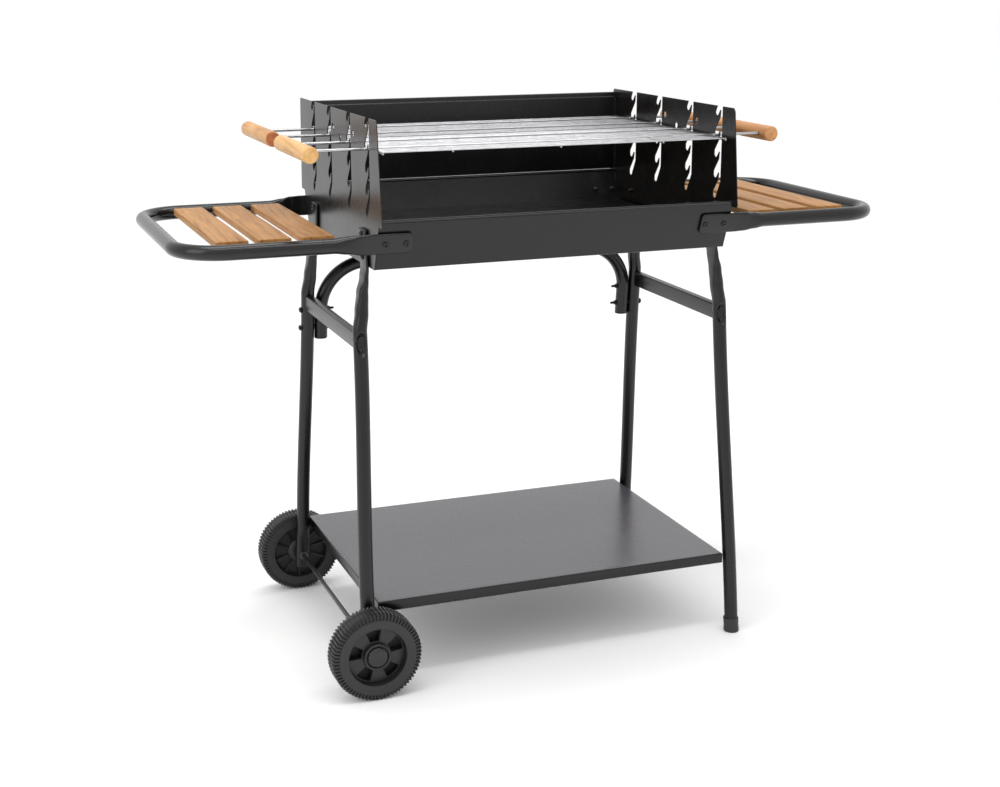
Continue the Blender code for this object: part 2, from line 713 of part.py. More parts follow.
def slat_rail(label, side, row_label, row):
    """Ledge strip along the inside of a tray tube, under the slats' ends."""
    low, high = sorted((row * 0.178, row * (TRAY_Y - TUBE_RADIUS - 0.0004)))
    start, end = sorted((side * SLAT_RAIL_X, side * (TRAY_OUT_X - TRAY_BEND)))
    top = SLAT_LOW_Z - GAP
    sheet = 0.0016
    outline = [(low, top - sheet), (high, top - sheet), (high, top), (low, top)]
    builder = bmesh.new()
    prism(builder, outline, 0, start, end)
    return finish_object(label + "_" + row_label + "_slat_rail", builder, "powder")


def slat(label, side, number, centre_x):
    """Flat board across the tray with eased edges."""
    ease = 0.0015
    x = side * centre_x
    low, high = SLAT_LOW_Z, SLAT_LOW_Z + SLAT_THICK
    w = SLAT_HALF_X
    outline = [(x - w, low), (x + w, low), (x + w, high - ease), (x + w - ease, high)]
    outline += [(x - w + ease, high), (x - w, high - ease)]
    builder = bmesh.new()
    prism(builder, outline, 1, -SLAT_HALF_Y, SLAT_HALF_Y)
    return finish_object(f"{label}_slat_{number}", builder, "slat_wood")


def bolt(name, face, normal, shank):
    """Domed bolt: its head rests on a face and its shank runs in against the face's normal."""
    profile = ((-shank, 0), (-shank, BOLT_RADIUS), (GAP, BOLT_RADIUS), (GAP, BOLT_HEAD_RADIUS))
    profile += ((BOLT_HEAD_HEIGHT * 0.6, BOLT_HEAD_RADIUS * 0.85), (BOLT_HEAD_HEIGHT, 0))
    builder = bmesh.new()
    turned(builder, profile, 8, frame_along(normal, face))
    return finish_object(name, builder, "bolt")


def fasteners():
    thick = 2 * 0.0025 + GAP
    for label, side in SIDES:
        for row_label, row in ROWS:
            place = label + "_" + row_label
            for number, x in enumerate(TRAY_BOLTS_X, 1):
                face, normal = tray_bolt_line(side, row, x)
                bolt(f"{place}_tray_bolt_{number}", face + normal * thick, normal, 0.0115)
            for number, z in enumerate(LEG_BOLTS_Z, 1):
                outer = leg_bolt_point(side, row, z)
                bolt(f"{place}_leg_bolt_{number}", outer, Vector((side, 0, 0)), 0.0115)
        for number, z in enumerate(ARCH_BOLTS_Z, 1):
            outer, inner = arch_bolt_ends(side, z)
            bolt(f"{label}_arch_bolt_{number}", outer, outer - inner, (outer - inner).length)


def main():
    clear_scene()
    trough()
    windshield()
    charcoal_grate()
    shelf()
    axle()
    arch_brace()
    for row_label, row in ROWS:
        grate(row_label)
        wheel(row_label, row)
        hub_cap(row_label, row)
        rubber_foot(row_label, row)
    for label, side in SIDES:
        end_plate(label, side)
        crossbar(label, side)
        tray_frame(label, side)
        for row_label, row in ROWS:
            leg(label, side, row_label, row)
            grate_handle(label, side, row_label)
            slat_rail(label, side, row_label, row)
        for number, centre_x in enumerate(SLAT_X, 1):
            slat(label, side, number, centre_x)
    fasteners()
    for item in bpy.context.scene.objects:
        item.location.z += DATUM_Z


main()
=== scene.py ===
"""Looks of a charcoal barbecue cart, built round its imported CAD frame.

Metres, +Z up, origin on the floor under the trough, +X towards the rubber feet, -Y towards the cook.
Every detailed piece stands in its CAD node's place and rides on the same body.
"""
import random
from math import asin, atan, copysign, cos, pi, radians, sin, tan, tau

import bmesh
import bpy
from mathutils import Matrix, Vector


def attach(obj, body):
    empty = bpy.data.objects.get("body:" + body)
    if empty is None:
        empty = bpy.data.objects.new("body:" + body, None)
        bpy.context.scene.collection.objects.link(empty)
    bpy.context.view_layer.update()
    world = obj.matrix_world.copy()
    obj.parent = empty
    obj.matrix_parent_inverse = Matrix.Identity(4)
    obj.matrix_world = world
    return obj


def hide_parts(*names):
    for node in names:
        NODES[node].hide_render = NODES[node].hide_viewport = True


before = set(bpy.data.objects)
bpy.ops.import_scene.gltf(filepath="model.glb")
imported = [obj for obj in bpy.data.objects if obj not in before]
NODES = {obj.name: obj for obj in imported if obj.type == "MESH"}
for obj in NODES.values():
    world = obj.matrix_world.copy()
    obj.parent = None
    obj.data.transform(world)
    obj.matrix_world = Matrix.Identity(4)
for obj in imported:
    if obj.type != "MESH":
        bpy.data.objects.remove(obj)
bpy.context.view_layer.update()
SIDES = (("left", -1), ("right", 1))
ROWS = (("front", -1), ("rear", 1))
X_AXIS = Vector((1, 0, 0))
Y_AXIS = Vector((0, 1, 0))
Z_AXIS = Vector((0, 0, 1))
DATUM = Vector((0, 0, 0.004))    # heights in this file are measured from this level above the floor


# ---- node materials

class Shader:
    """A Principled material with short calls for the nodes that feed it."""

    def __init__(self, name, **sockets):
        self.material = bpy.data.materials.new(name)
        self.material.use_nodes = True
        self.nodes = self.material.node_tree.nodes
        self.links = self.material.node_tree.links
        self.main = self.nodes["Principled BSDF"]
        for socket, value in sockets.items():
            self.main.inputs[socket.replace("_", " ")].default_value = value

    def add(self, kind, settings=None, **sockets):
        node = self.nodes.new(kind)
        for key, value in (settings or {}).items():
            setattr(node, key, value)
        for key, value in sockets.items():
            self.feed(node.inputs[key.replace("_", " ")], value)
        return node

    def feed(self, socket, value):
        if isinstance(value, bpy.types.NodeSocket):
            self.links.new(value, socket)
        else:
            socket.default_value = value

    def place(self, scale=(1, 1, 1), shift=(0, 0, 0)):
        """Coordinates that are fixed to the piece, stretched by scale."""
        source = self.add("ShaderNodeTexCoord").outputs["Object"]
        mapping = self.add("ShaderNodeMapping", Vector=source, Scale=scale, Location=shift)
        return mapping.outputs["Vector"]

    def noise(self, scale, detail=3.0, roughness=0.55, vector=None, distortion=0.0):
        vector = vector or self.place()
        node = self.add("ShaderNodeTexNoise", Vector=vector, Scale=scale, Detail=detail,
                        Roughness=roughness, Distortion=distortion)
        return node.outputs["Fac"]

    def spread(self, value, low=0.0, high=1.0, start=0.3, end=0.7):
        """Maps start..end of a value onto low..high."""
        node = self.add("ShaderNodeMapRange")
        self.feed(node.inputs["Value"], value)
        for key, number in (("From Min", start), ("From Max", end), ("To Min", low), ("To Max", high)):
            node.inputs[key].default_value = number
        return node.outputs["Result"]

    def ramp(self, value, *stops):
        node = self.add("ShaderNodeValToRGB", Fac=value)
        elements = node.color_ramp.elements
        while len(elements) < len(stops):
            elements.new(0.5)
        for element, (position, colour) in zip(elements, stops):
            element.position = position
            element.color = (*colour, 1)
        return node.outputs["Color"]

    def mix(self, factor, first, second, blend="MIX"):
        node = self.add("ShaderNodeMix", {"data_type": "RGBA", "blend_type": blend})
        self.feed(node.inputs[0], factor)
        self.feed(node.inputs[6], first if isinstance(first, bpy.types.NodeSocket) else (*first, 1))
        self.feed(node.inputs[7], second if isinstance(second, bpy.types.NodeSocket) else (*second, 1))
        return node.outputs[2]

    def maths(self, operation, first, second):
        node = self.add("ShaderNodeMath", {"operation": operation})
        self.feed(node.inputs[0], first)
        self.feed(node.inputs[1], second)
        return node.outputs["Value"]

    def bump(self, *layers):
        """Bump layers as (height, strength, distance in metres), the broadest one first."""
        normal = None
        for height, strength, distance in layers:
            node = self.add("ShaderNodeBump", Height=height, Strength=strength, Distance=distance)
            if normal:
                self.links.new(normal, node.inputs["Normal"])
            normal = node.outputs["Normal"]
        self.links.new(normal, self.main.inputs["Normal"])

    def set(self, socket, value):
        self.links.new(value, self.main.inputs[socket])


def powder_coat(name, dark, light, waviness=0.3, level=0.40, sheen=0.27):
    """Satin black powder coat: fine orange peel, uneven gloss and a trace of settled dust."""
    shader = Shader(name, IOR=1.5, Specular_IOR_Level=level)
    broad = shader.noise(7.0, 4.0, 0.6)
    grain = shader.noise(1500.0, 2.0, 0.6)
    specks = shader.noise(620.0, 1.0, 0.5)
    tint = shader.mix(shader.spread(broad), dark, light)
    dust = shader.mix(shader.spread(specks, 0.0, 0.35, 0.66, 0.80), tint, tuple(3.5 * c for c in light))
    shader.set("Base Color", dust)
    gloss = shader.maths("ADD", shader.spread(broad, sheen - 0.03, sheen + 0.03),
                         shader.spread(grain, -0.03, 0.04))
    shader.set("Roughness", gloss)
    shader.bump((broad, waviness, 0.0012), (shader.noise(260.0, 2.0), 0.16, 0.0002), (grain, 0.22, 0.00008))
    return shader.material


def chrome(name, colour, roughness, streak):
    """Bright drawn wire, with draw lines along X and a slight unevenness in the plating."""
    shader = Shader(name, Metallic=1.0)
    cloud = shader.noise(60.0, 4.0, 0.6)
    lines = shader.noise(1.0, 3.0, 0.6, shader.place((14.0, 2600.0, 2600.0)))
    low = tuple(0.80 * c for c in colour)
    shader.set("Base Color", shader.mix(shader.spread(cloud), low, colour))
    uneven = shader.maths("ADD", shader.spread(cloud, roughness * 0.75, roughness * 1.3),
                          shader.spread(lines, -0.02, 0.06))
    shader.set("Roughness", uneven)
    shader.bump((cloud, 0.10, 0.0004), (lines, streak, 0.00005))
    return shader.material


def wood(name, light, middle, dark, seed, gloss=0.5):
    """Oiled wood with its grain along Y: growth rings, fine pores and end grain from one solid pattern."""
    shader = Shader(name, IOR=1.45)
    shift = (0.31 * seed, 0.17 * seed, 0.23 * seed)

    def streaks(across, along, detail=2.0, roughness=0.5):
        return shader.noise(1.0, detail, roughness, shader.place((across, along, across), shift))

    wander = streaks(5.0, 1.6)
    bent = shader.place((1.0, 0.045, 1.0), shift)
    swirl = shader.add("ShaderNodeMixRGB", {"blend_type": "ADD"}, Fac=0.10)
    shader.links.new(bent, swirl.inputs["Color1"])
    shader.links.new(wander, swirl.inputs["Color2"])
    rings = shader.noise(120.0, 3.0, 0.55, swirl.outputs["Color"])
    fibre = streaks(900.0, 16.0, 4.0, 0.6)
    pores = streaks(1500.0, 60.0)
    cloud = streaks(16.0, 5.0)
    body = shader.ramp(rings, (0.30, dark), (0.45, middle), (0.62, light), (0.75, middle))
    body = shader.mix(shader.spread(fibre, 0.0, 0.45), body, dark)
    body = shader.mix(shader.spread(pores, 0.0, 0.55, 0.60, 0.74), body, tuple(0.45 * c for c in dark))
    body = shader.mix(shader.spread(cloud, 0.0, 0.35), body, light)
    shader.set("Base Color", body)
    shader.set("Roughness", shader.spread(fibre, gloss - 0.08, gloss + 0.12))
    shader.bump((rings, 0.22, 0.0004), (fibre, 0.30, 0.0002), (pores, 0.25, 0.0001))
    return shader.material


def moulded(name, colour, roughness, texture_scale, texture_depth):
    """Moulded plastic or rubber with a fine matt mould texture and scuffed lighter patches."""
    shader = Shader(name, IOR=1.49)
    cloud = shader.noise(22.0, 4.0, 0.6)
    texture = shader.noise(texture_scale, 2.0, 0.6)
    scuffs = shader.noise(1.0, 5.0, 0.65, shader.place((260.0, 40.0, 260.0)))
    tint = shader.mix(shader.spread(cloud), tuple(0.75 * c for c in colour), colour)
    tint = shader.mix(shader.spread(scuffs, 0.0, 0.30, 0.60, 0.80), tint, tuple(3.0 * c for c in colour))
    shader.set("Base Color", tint)
    shader.set("Roughness", shader.spread(cloud, roughness - 0.05, roughness + 0.07))
    shader.bump((cloud, 0.08, 0.0006), (texture, 0.30, texture_depth))
    return shader.material


def bolt_black(name):
    """Black-oxide steel with small bright spots, which are painted glints."""
    shader = Shader(name, Metallic=0.25)
    cloud = shader.noise(160.0, 4.0, 0.6)
    glint_spots = shader.noise(420.0, 3.0, 0.6)
    tint = shader.mix(shader.spread(cloud), (0.004, 0.004, 0.0045), (0.014, 0.014, 0.015))
    # bright spots scattered by noise: painted glints
    tint = shader.mix(shader.spread(glint_spots, 0.0, 0.6, 0.62, 0.76), tint, (0.16, 0.155, 0.15))
    shader.set("Base Color", tint)
    shader.set("Roughness", shader.spread(cloud, 0.28, 0.42))
    shader.bump((cloud, 0.15, 0.0003), (glint_spots, 0.2, 0.0001))
    return shader.material


BLACK = (0.0020, 0.0018, 0.0020), (0.0042, 0.0038, 0.0040)
POWDER = powder_coat("powder_black", *BLACK)
TUBE_COAT = powder_coat("powder_black_tube", *BLACK, 0.1, 0.45, 0.20)
PLATE = powder_coat("powder_black_plate", (0.0030, 0.0024, 0.0020), (0.0060, 0.0048, 0.0040), 0.06)
# lighter, glossier copy of the black coat for the bead crowns: its lighter colour is a painted highlight
RIM_HIGHLIGHT_COAT = powder_coat("powder_black_rim_painted_highlight", (0.020, 0.019, 0.019), (0.030, 0.028, 0.028), 0.04, 1.0, 0.19)
# the shelf coat goes on the pan's flat faces only and is lighter than the black on its flange: painted light
# and shade by facing
SHELF_COAT = powder_coat("powder_black_shelf", (0.060, 0.055, 0.066), (0.074, 0.069, 0.080), 0.04, 0.85)
# one chrome in two copies: the rear grate's darker wire is painted shade
CHROME = {"front": chrome("chrome_wire_front", (0.53, 0.53, 0.54), 0.17, 0.15),
          "rear": chrome("chrome_wire_rear_painted_shade", (0.38, 0.38, 0.39), 0.17, 0.15)}
STEEL = chrome("bright_steel", (0.12, 0.118, 0.116), 0.36, 0.2)
PLASTIC = moulded("wheel_plastic", (0.014, 0.014, 0.015), 0.40, 900.0, 0.0002)
GLOSS_PLASTIC = moulded("wheel_cap_plastic", (0.012, 0.012, 0.013), 0.24, 1500.0, 0.00005)
# darker copy of the wheel plastic for the disc behind the windows: painted shade
POCKET_SHADE_PLASTIC = moulded("wheel_pocket_painted_shade", (0.005, 0.005, 0.0055), 0.55, 900.0, 0.0002)
RUBBER = moulded("rubber_black", (0.020, 0.020, 0.021), 0.55, 1400.0, 0.0002)
BOLT = bolt_black("bolt_black")
# dark wood for the rings at the bores' mouths: painted shade
BORE_SHADE = wood("bore_mouth_painted_shade", (0.20, 0.10, 0.045), (0.13, 0.06, 0.025), (0.06, 0.028, 0.012), 2, 0.7)
END_GRAIN = wood("beech_end", (0.52, 0.170, 0.062), (0.40, 0.120, 0.042), (0.26, 0.075, 0.022), 9, 0.5)
# copies of one beech for the four grips, lighter on the left and darker on the right: painted light and shade
BEECH = [wood(f"beech_{n}", (0.80 * a, 0.50 * b, 0.205 * b), (0.68 * a, 0.37 * b, 0.120 * b),
              (0.45 * a, 0.20 * b, 0.050 * b), 3 + n, 0.42)
         for n, (a, b) in enumerate(((0.88, 0.88), (0.72, 0.60), (0.78, 0.72), (0.72, 0.60)))]
SLAT_WOOD = [wood(f"slat_wood_{n}", (0.47, 0.240, 0.072), (0.350, 0.155, 0.038), (0.175, 0.064, 0.014),
                  11 + n, 0.5) for n in range(6)]


# ---- mesh building

def add_object(name, data, spot=(0, 0, 0), target=None):
    """Adds an object to the scene, aimed at a target where one is given."""
    made = bpy.data.objects.new(name, data)
    made.location = spot
    if target is not None:
        made.rotation_euler = (Vector(target) - Vector(spot)).to_track_quat("-Z", "Y").to_euler()
    bpy.context.scene.collection.objects.link(made)
    return made


def keep(name, builder, material, body="cart", nodes=(), smooth=40.0, weld=True):
    """Makes the piece, shades it smooth up to an angle, and lets it ride on its body."""
    if weld:
        bmesh.ops.remove_doubles(builder, verts=builder.verts, dist=1e-6)
    bmesh.ops.recalc_face_normals(builder, faces=builder.faces)
    bmesh.ops.translate(builder, verts=builder.verts, vec=DATUM)
    mesh = bpy.data.meshes.new(name)
    builder.to_mesh(mesh)
    builder.free()
    mesh.materials.append(material)
    if smooth:
        mesh.shade_smooth()
        mesh.set_sharp_from_angle(angle=radians(smooth))
    made = add_object(name, mesh)
    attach(made, body)
    if nodes:
        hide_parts(*nodes)
    return made


def steel(name, builder, node=None, smooth=35, material=POWDER):
    """Keeps a piece of black powder-coated steel."""
    return keep(name, builder, material, nodes=[node] if node else [], smooth=smooth)


def bevelled(made, width, angle=35.0):
    edge = made.modifiers.new("edge", "BEVEL")
    edge.width = width
    edge.segments = 2
    edge.limit_method = "ANGLE"
    edge.angle_limit = radians(angle)
    return made


def skin(builder, loops, closed=False):
    """Faces between rings of vertices, capped unless the last one meets the first; one vertex is a tip."""
    sides = max(len(loop) for loop in loops)
    for near, far in zip(loops, loops[1:] + (loops[:1] if closed else [])):
        for i in range(sides):
            j = (i + 1) % sides
            corners = [near[i % len(near)], near[j % len(near)], far[j % len(far)], far[i % len(far)]]
            builder.faces.new(list(dict.fromkeys(corners)))
    for loop, order in () if closed else ((loops[0], -1), (loops[-1], 1)):
        if len(loop) > 2:
            builder.faces.new(loop[::order])


def loft(builder, rings, closed=False):
    """Skins rings of points, each with the same count."""
    skin(builder, [[builder.verts.new(p) for p in points] for points in rings], closed)


def stadium(centre, across, along, half_across, half_along, sides=32):
    """Section of a round tube pressed flat: a slab with round edges, or a circle if the halves match."""
    radius = min(half_across, half_along)
    points = []
    for i in range(sides):
        turn = tau * (i + 0.5) / sides
        a = radius * cos(turn) + copysign(half_across - radius, cos(turn))
        b = radius * sin(turn) + copysign(half_along - radius, sin(turn))
        points.append(centre + across * a + along * b)
    return points


def turned(builder, profile, sides, base, axis):
    """Revolves (distance along the axis, radius) pairs; radius 0 closes the end."""
    axis = axis.normalized()
    first = axis.orthogonal().normalized()
    if abs(axis.z) < 0.9:
        first = axis.cross(Z_AXIS).normalized()
    second = axis.cross(first)
    loops = []
    for along, radius in profile:
        centre = base + axis * along
        if radius <= 0:
            loops.append([builder.verts.new(centre)])
            continue
        turns = [tau * i / sides for i in range(sides)]
        loops.append([builder.verts.new(centre + (first * cos(turn) + second * sin(turn)) * radius)
                      for turn in turns])
    skin(builder, loops)


def wire(builder, path, radius, sides):
    """Round wire along a path of points."""
    turns = [tau * k / sides for k in range(sides)]
    rings = []
    for i, point in enumerate(path):
        ahead = path[min(i + 1, len(path) - 1)] - path[max(i - 1, 0)]
        ahead.normalize()
        first = ahead.cross(Z_AXIS if abs(ahead.z) < 0.9 else X_AXIS).normalized()
        second = ahead.cross(first)
        rings.append([point + (first * cos(turn) + second * sin(turn)) * radius for turn in turns])
    loft(builder, rings)


def extrude(builder, outline, axis, low, high):
    """Prism of an outline; axis 0 takes (y, z) points along X, axis 1 takes (x, z) points along Y."""
    def at(point, along):
        return Vector((along, point[0], point[1]) if axis == 0 else (point[0], along, point[1]))
    loft(builder, [[at(p, low) for p in outline], [at(p, high) for p in outline]])


def rounded(points, radii, steps=5):
    """Outline with its corners turned into arcs; a radius of 0 keeps the corner sharp."""
    out = []
    count = len(points)
    for i, (point, radius) in enumerate(zip(points, radii)):
        here = Vector(point)
        if radius <= 0:
            out.append(tuple(here))
            continue
        back = (Vector(points[i - 1]) - here).normalized()
        ahead = (Vector(points[(i + 1) % count]) - here).normalized()
        half = back.angle(ahead) / 2
        reach = radius / tan(half)
        centre = here + (back + ahead).normalized() * radius / sin(half)
        start, end = here + back * reach - centre, here + ahead * reach - centre
        turn = start.angle_signed(end)
        for step in range(steps + 1):
            angle = -turn * step / steps
            spin = Matrix.Rotation(angle, 2)
            out.append(tuple(centre + spin @ start))
    return out


def ease(t):
    return t * t * (3 - 2 * t)


def between(sections, key, value):
    """Smoothly interpolated numbers of the sections, which are tuples that start with the key."""
    ordered = sorted(sections, key=lambda s: s[key])
    if value <= ordered[0][key]:
        return ordered[0]
    for low, high in zip(ordered, ordered[1:]):
        if value <= high[key]:
            t = ease((value - low[key]) / (high[key] - low[key]))
            return tuple(a + (b - a) * t for a, b in zip(low, high))
    return ordered[-1]


# ---- sizes shared with the frame

TUBE = 0.0125
FLOOR_Z, RIM_Z, FLOOR_Y, RIM_Y = 0.7265, 0.8135, 0.214, 0.248
SLOPE = (RIM_Y - FLOOR_Y) / (RIM_Z - FLOOR_Z)
TILT = atan(SLOPE)
PLATE_X = 0.3228
BAR_Z = (0.588, 0.606)
SEAT_DEPTH = 0.0052
TRAY_BOLT_Z = 0.774
ARCH_X = 0.3145
AXLE = Vector((-0.353, 0, 0.075))


def wall_y(z):
    return FLOOR_Y + (z - FLOOR_Z) * SLOPE


def leg_centre(side, row, z):
    share = (0.8 - z) / 0.8
    return Vector((side * (0.335 + 0.020 * share), row * (0.158 + 0.0845 * share), z))


# ---- tube frame

def leg(label, side, row_label, row):
    """Steel tube with its top pressed flat against the end plate, and a pressed seat at the crossbar."""
    flat_x = PLATE_X + 0.0003 + 0.0025
    sections = [
        (0.7880, flat_x, 0.0022, 0.0150), (0.7872, flat_x, 0.0025, 0.0172), (0.7840, flat_x, 0.0025, 0.0194),
        (0.7240, flat_x, 0.0025, 0.0195), (0.7060, flat_x + 0.0022, 0.0042, 0.0180),
        (0.6800, flat_x + 0.0066, 0.0086, 0.0154), (0.6500, flat_x + 0.0094, 0.0112, 0.0138),
        (0.6150, leg_centre(1, 1, 0.615).x, TUBE, TUBE),
    ]
    lower = [(0.0020, TUBE, TUBE)]
    if label == "left":
        lower = [(0.1350, TUBE, TUBE), (0.1080, 0.0137, 0.0092), (0.0530, 0.0137, 0.0092),
                 (0.0506, 0.0131, 0.0086), (0.0500, 0.0118, 0.0074)]
    sections += [(z, leg_centre(1, 1, z).x, half_x, half_y) for z, half_x, half_y in lower]
    top, bottom = sections[0][0], sections[-1][0]
    heights = {s[0] for s in sections}
    heights |= {bottom + (top - bottom) * i / 150 for i in range(151)}
    heights |= {0.575 + 0.0025 * i for i in range(19)} | {0.62 + 0.006 * i for i in range(22)}
    seat_z = sum(BAR_Z) / 2
    rings = []
    for z in sorted(heights, reverse=True):
        _, x, half_x, half_y = between(sections, 0, z)
        axis = leg_centre(side, row, z)
        centre = Vector((side * x, axis.y, z))
        ring = stadium(centre, X_AXIS, Y_AXIS, half_x, half_y, 40)
        for point in ring:
            # the outer face is pressed in where the crossbar's screws pass
            inside = 1 - ((point.x - centre.x) / 0.0095) ** 2 - ((z - seat_z) / 0.0215) ** 2
            if (point.y - axis.y) * row > 0 and inside > 0:
                point.y -= row * SEAT_DEPTH * min(1, inside * 2.2)
        if 0.672 < z < 0.737:
            # the pressing leaves a crease that runs into the round tube
            depth = 0.0020 * sin(pi * (z - 0.672) / 0.065)
            for point in ring:
                if abs(point.y - axis.y) < 0.0045 and (point.x - centre.x) * side > 0:
                    point.x -= side * depth
        if label == "left" and 0.055 < z < 0.095:
            # both faces are dished round the axle
            for point in ring:
                inside = 1 - ((point.x - AXLE.x) ** 2 + (z - AXLE.z) ** 2) / 0.0095 ** 2
                if inside > 0:
                    point.y -= 0.0012 * min(1, 2 * inside) * (1 if point.y > axis.y else -1)
        rings.append(ring)
    builder = bmesh.new()
    loft(builder, rings)
    node = f"{label}_{row_label}_leg"
    steel(node + "_tube", builder, node, 50)


def arch():
    """One bent tube under the trough, bolted inside the two rear legs, with its ends cut square."""
    bottom, bend, top = 0.526, 0.090, 0.671
    path = [(-ARCH_X, bottom, 0.0), (-ARCH_X, bottom + 0.0012, 0.0)]
    path += [(-ARCH_X, bottom + 0.004 + 0.006 * i, 0.0) for i in range(9)]
    for step in range(25):
        turn = pi / 2 * step / 24
        path.append((-ARCH_X + bend * (1 - cos(turn)), top - bend + bend * sin(turn), turn))
    path += [(-x, z, pi - turn) for x, z, turn in reversed(path)]
    rings = []
    for index, (x, z, turn) in enumerate(path):
        centre = Vector((x, leg_centre(1, 1, z).y, z))
        across = Vector((-cos(turn), 0, sin(turn)))
        # a bend thins the tube a little on its inner side
        bent = sin(2 * turn) if 0 < turn < pi / 2 else 0
        radius = TUBE - (0.0010 if index in (0, len(path) - 1) else 0)
        rings.append(stadium(centre, across, Y_AXIS, radius - 0.0004 * bent, radius, 36))
    builder = bmesh.new()
    loft(builder, rings)
    steel("arch_tube", builder, "arch_brace", 50)


def tray_tube(label, side):
    """U-shaped tray tube; both ends are pressed flat, tilted with the trough's wall and bolted to it."""
    up = Vector((0, -sin(TILT), cos(TILT)))
    out = Vector((0, -cos(TILT), -sin(TILT)))
    flat_y = -wall_y(TRAY_BOLT_Z) + 0.0028 * out.y
    flat_z = TRAY_BOLT_Z + 0.0028 * out.z
    run_y, tube_z, bend = -0.2290, 0.7735, 0.078
    keys = [(0.2650, flat_y, flat_z, 0.0022, 0.0140, 1.0), (0.2662, flat_y, flat_z, 0.0025, 0.0170, 1.0),
            (0.2700, flat_y, flat_z, 0.0025, 0.0190, 1.0), (0.3320, flat_y, flat_z, 0.0025, 0.0190, 1.0),
            (0.3520, -0.2342, 0.7734, 0.0052, 0.0178, 0.75), (0.3700, -0.2315, tube_z, 0.0092, 0.0150, 0.35),
            (0.3950, run_y, tube_z, TUBE, TUBE, 0.0)]
    stations = sorted({k[0] for k in keys} | {0.332 + 0.003 * i for i in range(22)})
    rings = []
    for x in stations:
        _, y, z, thin, tall, share = between(keys, 0, x)
        ring_out = (out * share - Y_AXIS * (1 - share)).normalized()
        ring_up = (up * share + Z_AXIS * (1 - share)).normalized()
        rings.append(stadium(Vector((x, y, z)), ring_out, ring_up, thin, tall, 36))
    rings += [stadium(Vector((0.395 + 0.0171 * i, run_y, tube_z)), -Y_AXIS, Z_AXIS, TUBE, TUBE, 36)
              for i in range(1, 10)]
    corner = Vector((0.561, run_y + bend, tube_z))
    for step in range(25):
        turn = pi / 2 * step / 24
        outward = Vector((sin(turn), -cos(turn), 0))
        thin = TUBE - 0.0003 * sin(2 * turn)
        rings.append(stadium(corner + outward * bend, outward, Z_AXIS, thin, TUBE, 36))
    rings.append(stadium(Vector((corner.x + bend, -0.05, tube_z)), X_AXIS, Z_AXIS, TUBE, TUBE, 36))
    rings += [[Vector((p.x, -p.y, p.z)) for p in ring] for ring in reversed(rings)]
    rings = [[Vector((side * p.x, p.y, p.z)) for p in ring] for ring in rings]
    builder = bmesh.new()
    loft(builder, rings)
    steel(label + "_tray_tube", builder, label + "_tray_frame", 50, TUBE_COAT)


arch()
for label, side in SIDES:
    tray_tube(label, side)
    for row_label, row in ROWS:
        leg(label, side, row_label, row)


# ---- sheet parts

SHEET, BEAD = 0.0013, 0.0031
INSET = SHEET / cos(TILT)
BEAD_Z = RIM_Z - BEAD
BEAD_Y = wall_y(BEAD_Z) - INSET / 2


def trough():
    """Folded channel with a rolled bead along both rims and small bends at the floor."""
    wall_end = 0.79
    half = rounded([(0.10, FLOOR_Z), (FLOOR_Y, FLOOR_Z), (wall_y(wall_end), wall_end)], [0, 0.0035, 0])[1:-1]
    start = asin(SHEET / 2 / BEAD)
    for step in range(19):
        turn = start + (tau - 2 * start) * step / 18 - TILT
        s, c = sin(turn), cos(turn)
        if c < 0:
            # the bead's crown is rolled nearly flat
            s, c = copysign(abs(s) ** 0.5, s), -abs(c) ** 0.4
        half.append((BEAD_Y + BEAD * s, BEAD_Z - BEAD * c))
    low = FLOOR_Z + SHEET
    inner = [(wall_y(wall_end) - INSET, wall_end), (wall_y(low) - INSET, low), (0.10, low)]
    half += rounded(inner, [0, 0.0022, 0])[1:-1]
    outline = half + [(-y, z) for y, z in reversed(half)]
    builder = bmesh.new()
    extrude(builder, outline, 0, -0.321, 0.321)
    steel("trough_sheet", builder, "trough")


def rim_highlight_strips():
    """Lighter, glossier strips over the crowns of the trough's two beads; their lighter colour is a painted
    highlight.
    """
    radius = BEAD + 0.0001
    builder = bmesh.new()
    for row in (-1, 1):
        outline = [(row * (BEAD_Y + radius * cos(pi * i / 16)),
                    min(BEAD_Z + radius * sin(pi * i / 16), RIM_Z)) for i in range(17)]
        extrude(builder, outline, 0, -0.3208, 0.3208)
    steel("trough_rim_painted_highlight", builder, None, 35, RIM_HIGHLIGHT_COAT)


def windshield():
    """Rear panel with its upper edge folded back over a small radius, and a stiffening step under it."""
    front, back, low, high = 0.2444, 0.2457, 0.8140, 0.9665
    step, lip_y, lip_z = 0.0020, back + 0.0105, high - 0.0013
    outline = rounded(
        [(front, low), (back, low), (back, high - 0.0105), (back + step, high - 0.0085),
         (back + step, lip_z - 0.0007), (lip_y, lip_z - 0.0016), (lip_y, lip_z - 0.0003),
         (front + step, high), (front + step, high - 0.0082), (front, high - 0.0100)],
        [0.0003, 0.0003, 0.0006, 0.0006, 0.0010, 0.0003, 0.0003, 0.0022, 0.0006, 0.0006], 4)
    builder = bmesh.new()
    extrude(builder, outline, 0, -0.321, 0.321)
    for side in (-1, 1):
        # the sheet's ends are folded into a small round seam along each end plate
        seam_foot = Vector((side * 0.3194, 0.2440, low + 0.001))
        turned(builder, [(0, 0), (0, 0.0011), (0.1455, 0.0011), (0.1455, 0)], 16, seam_foot, Z_AXIS)
    steel("windshield_sheet", builder, "windshield")


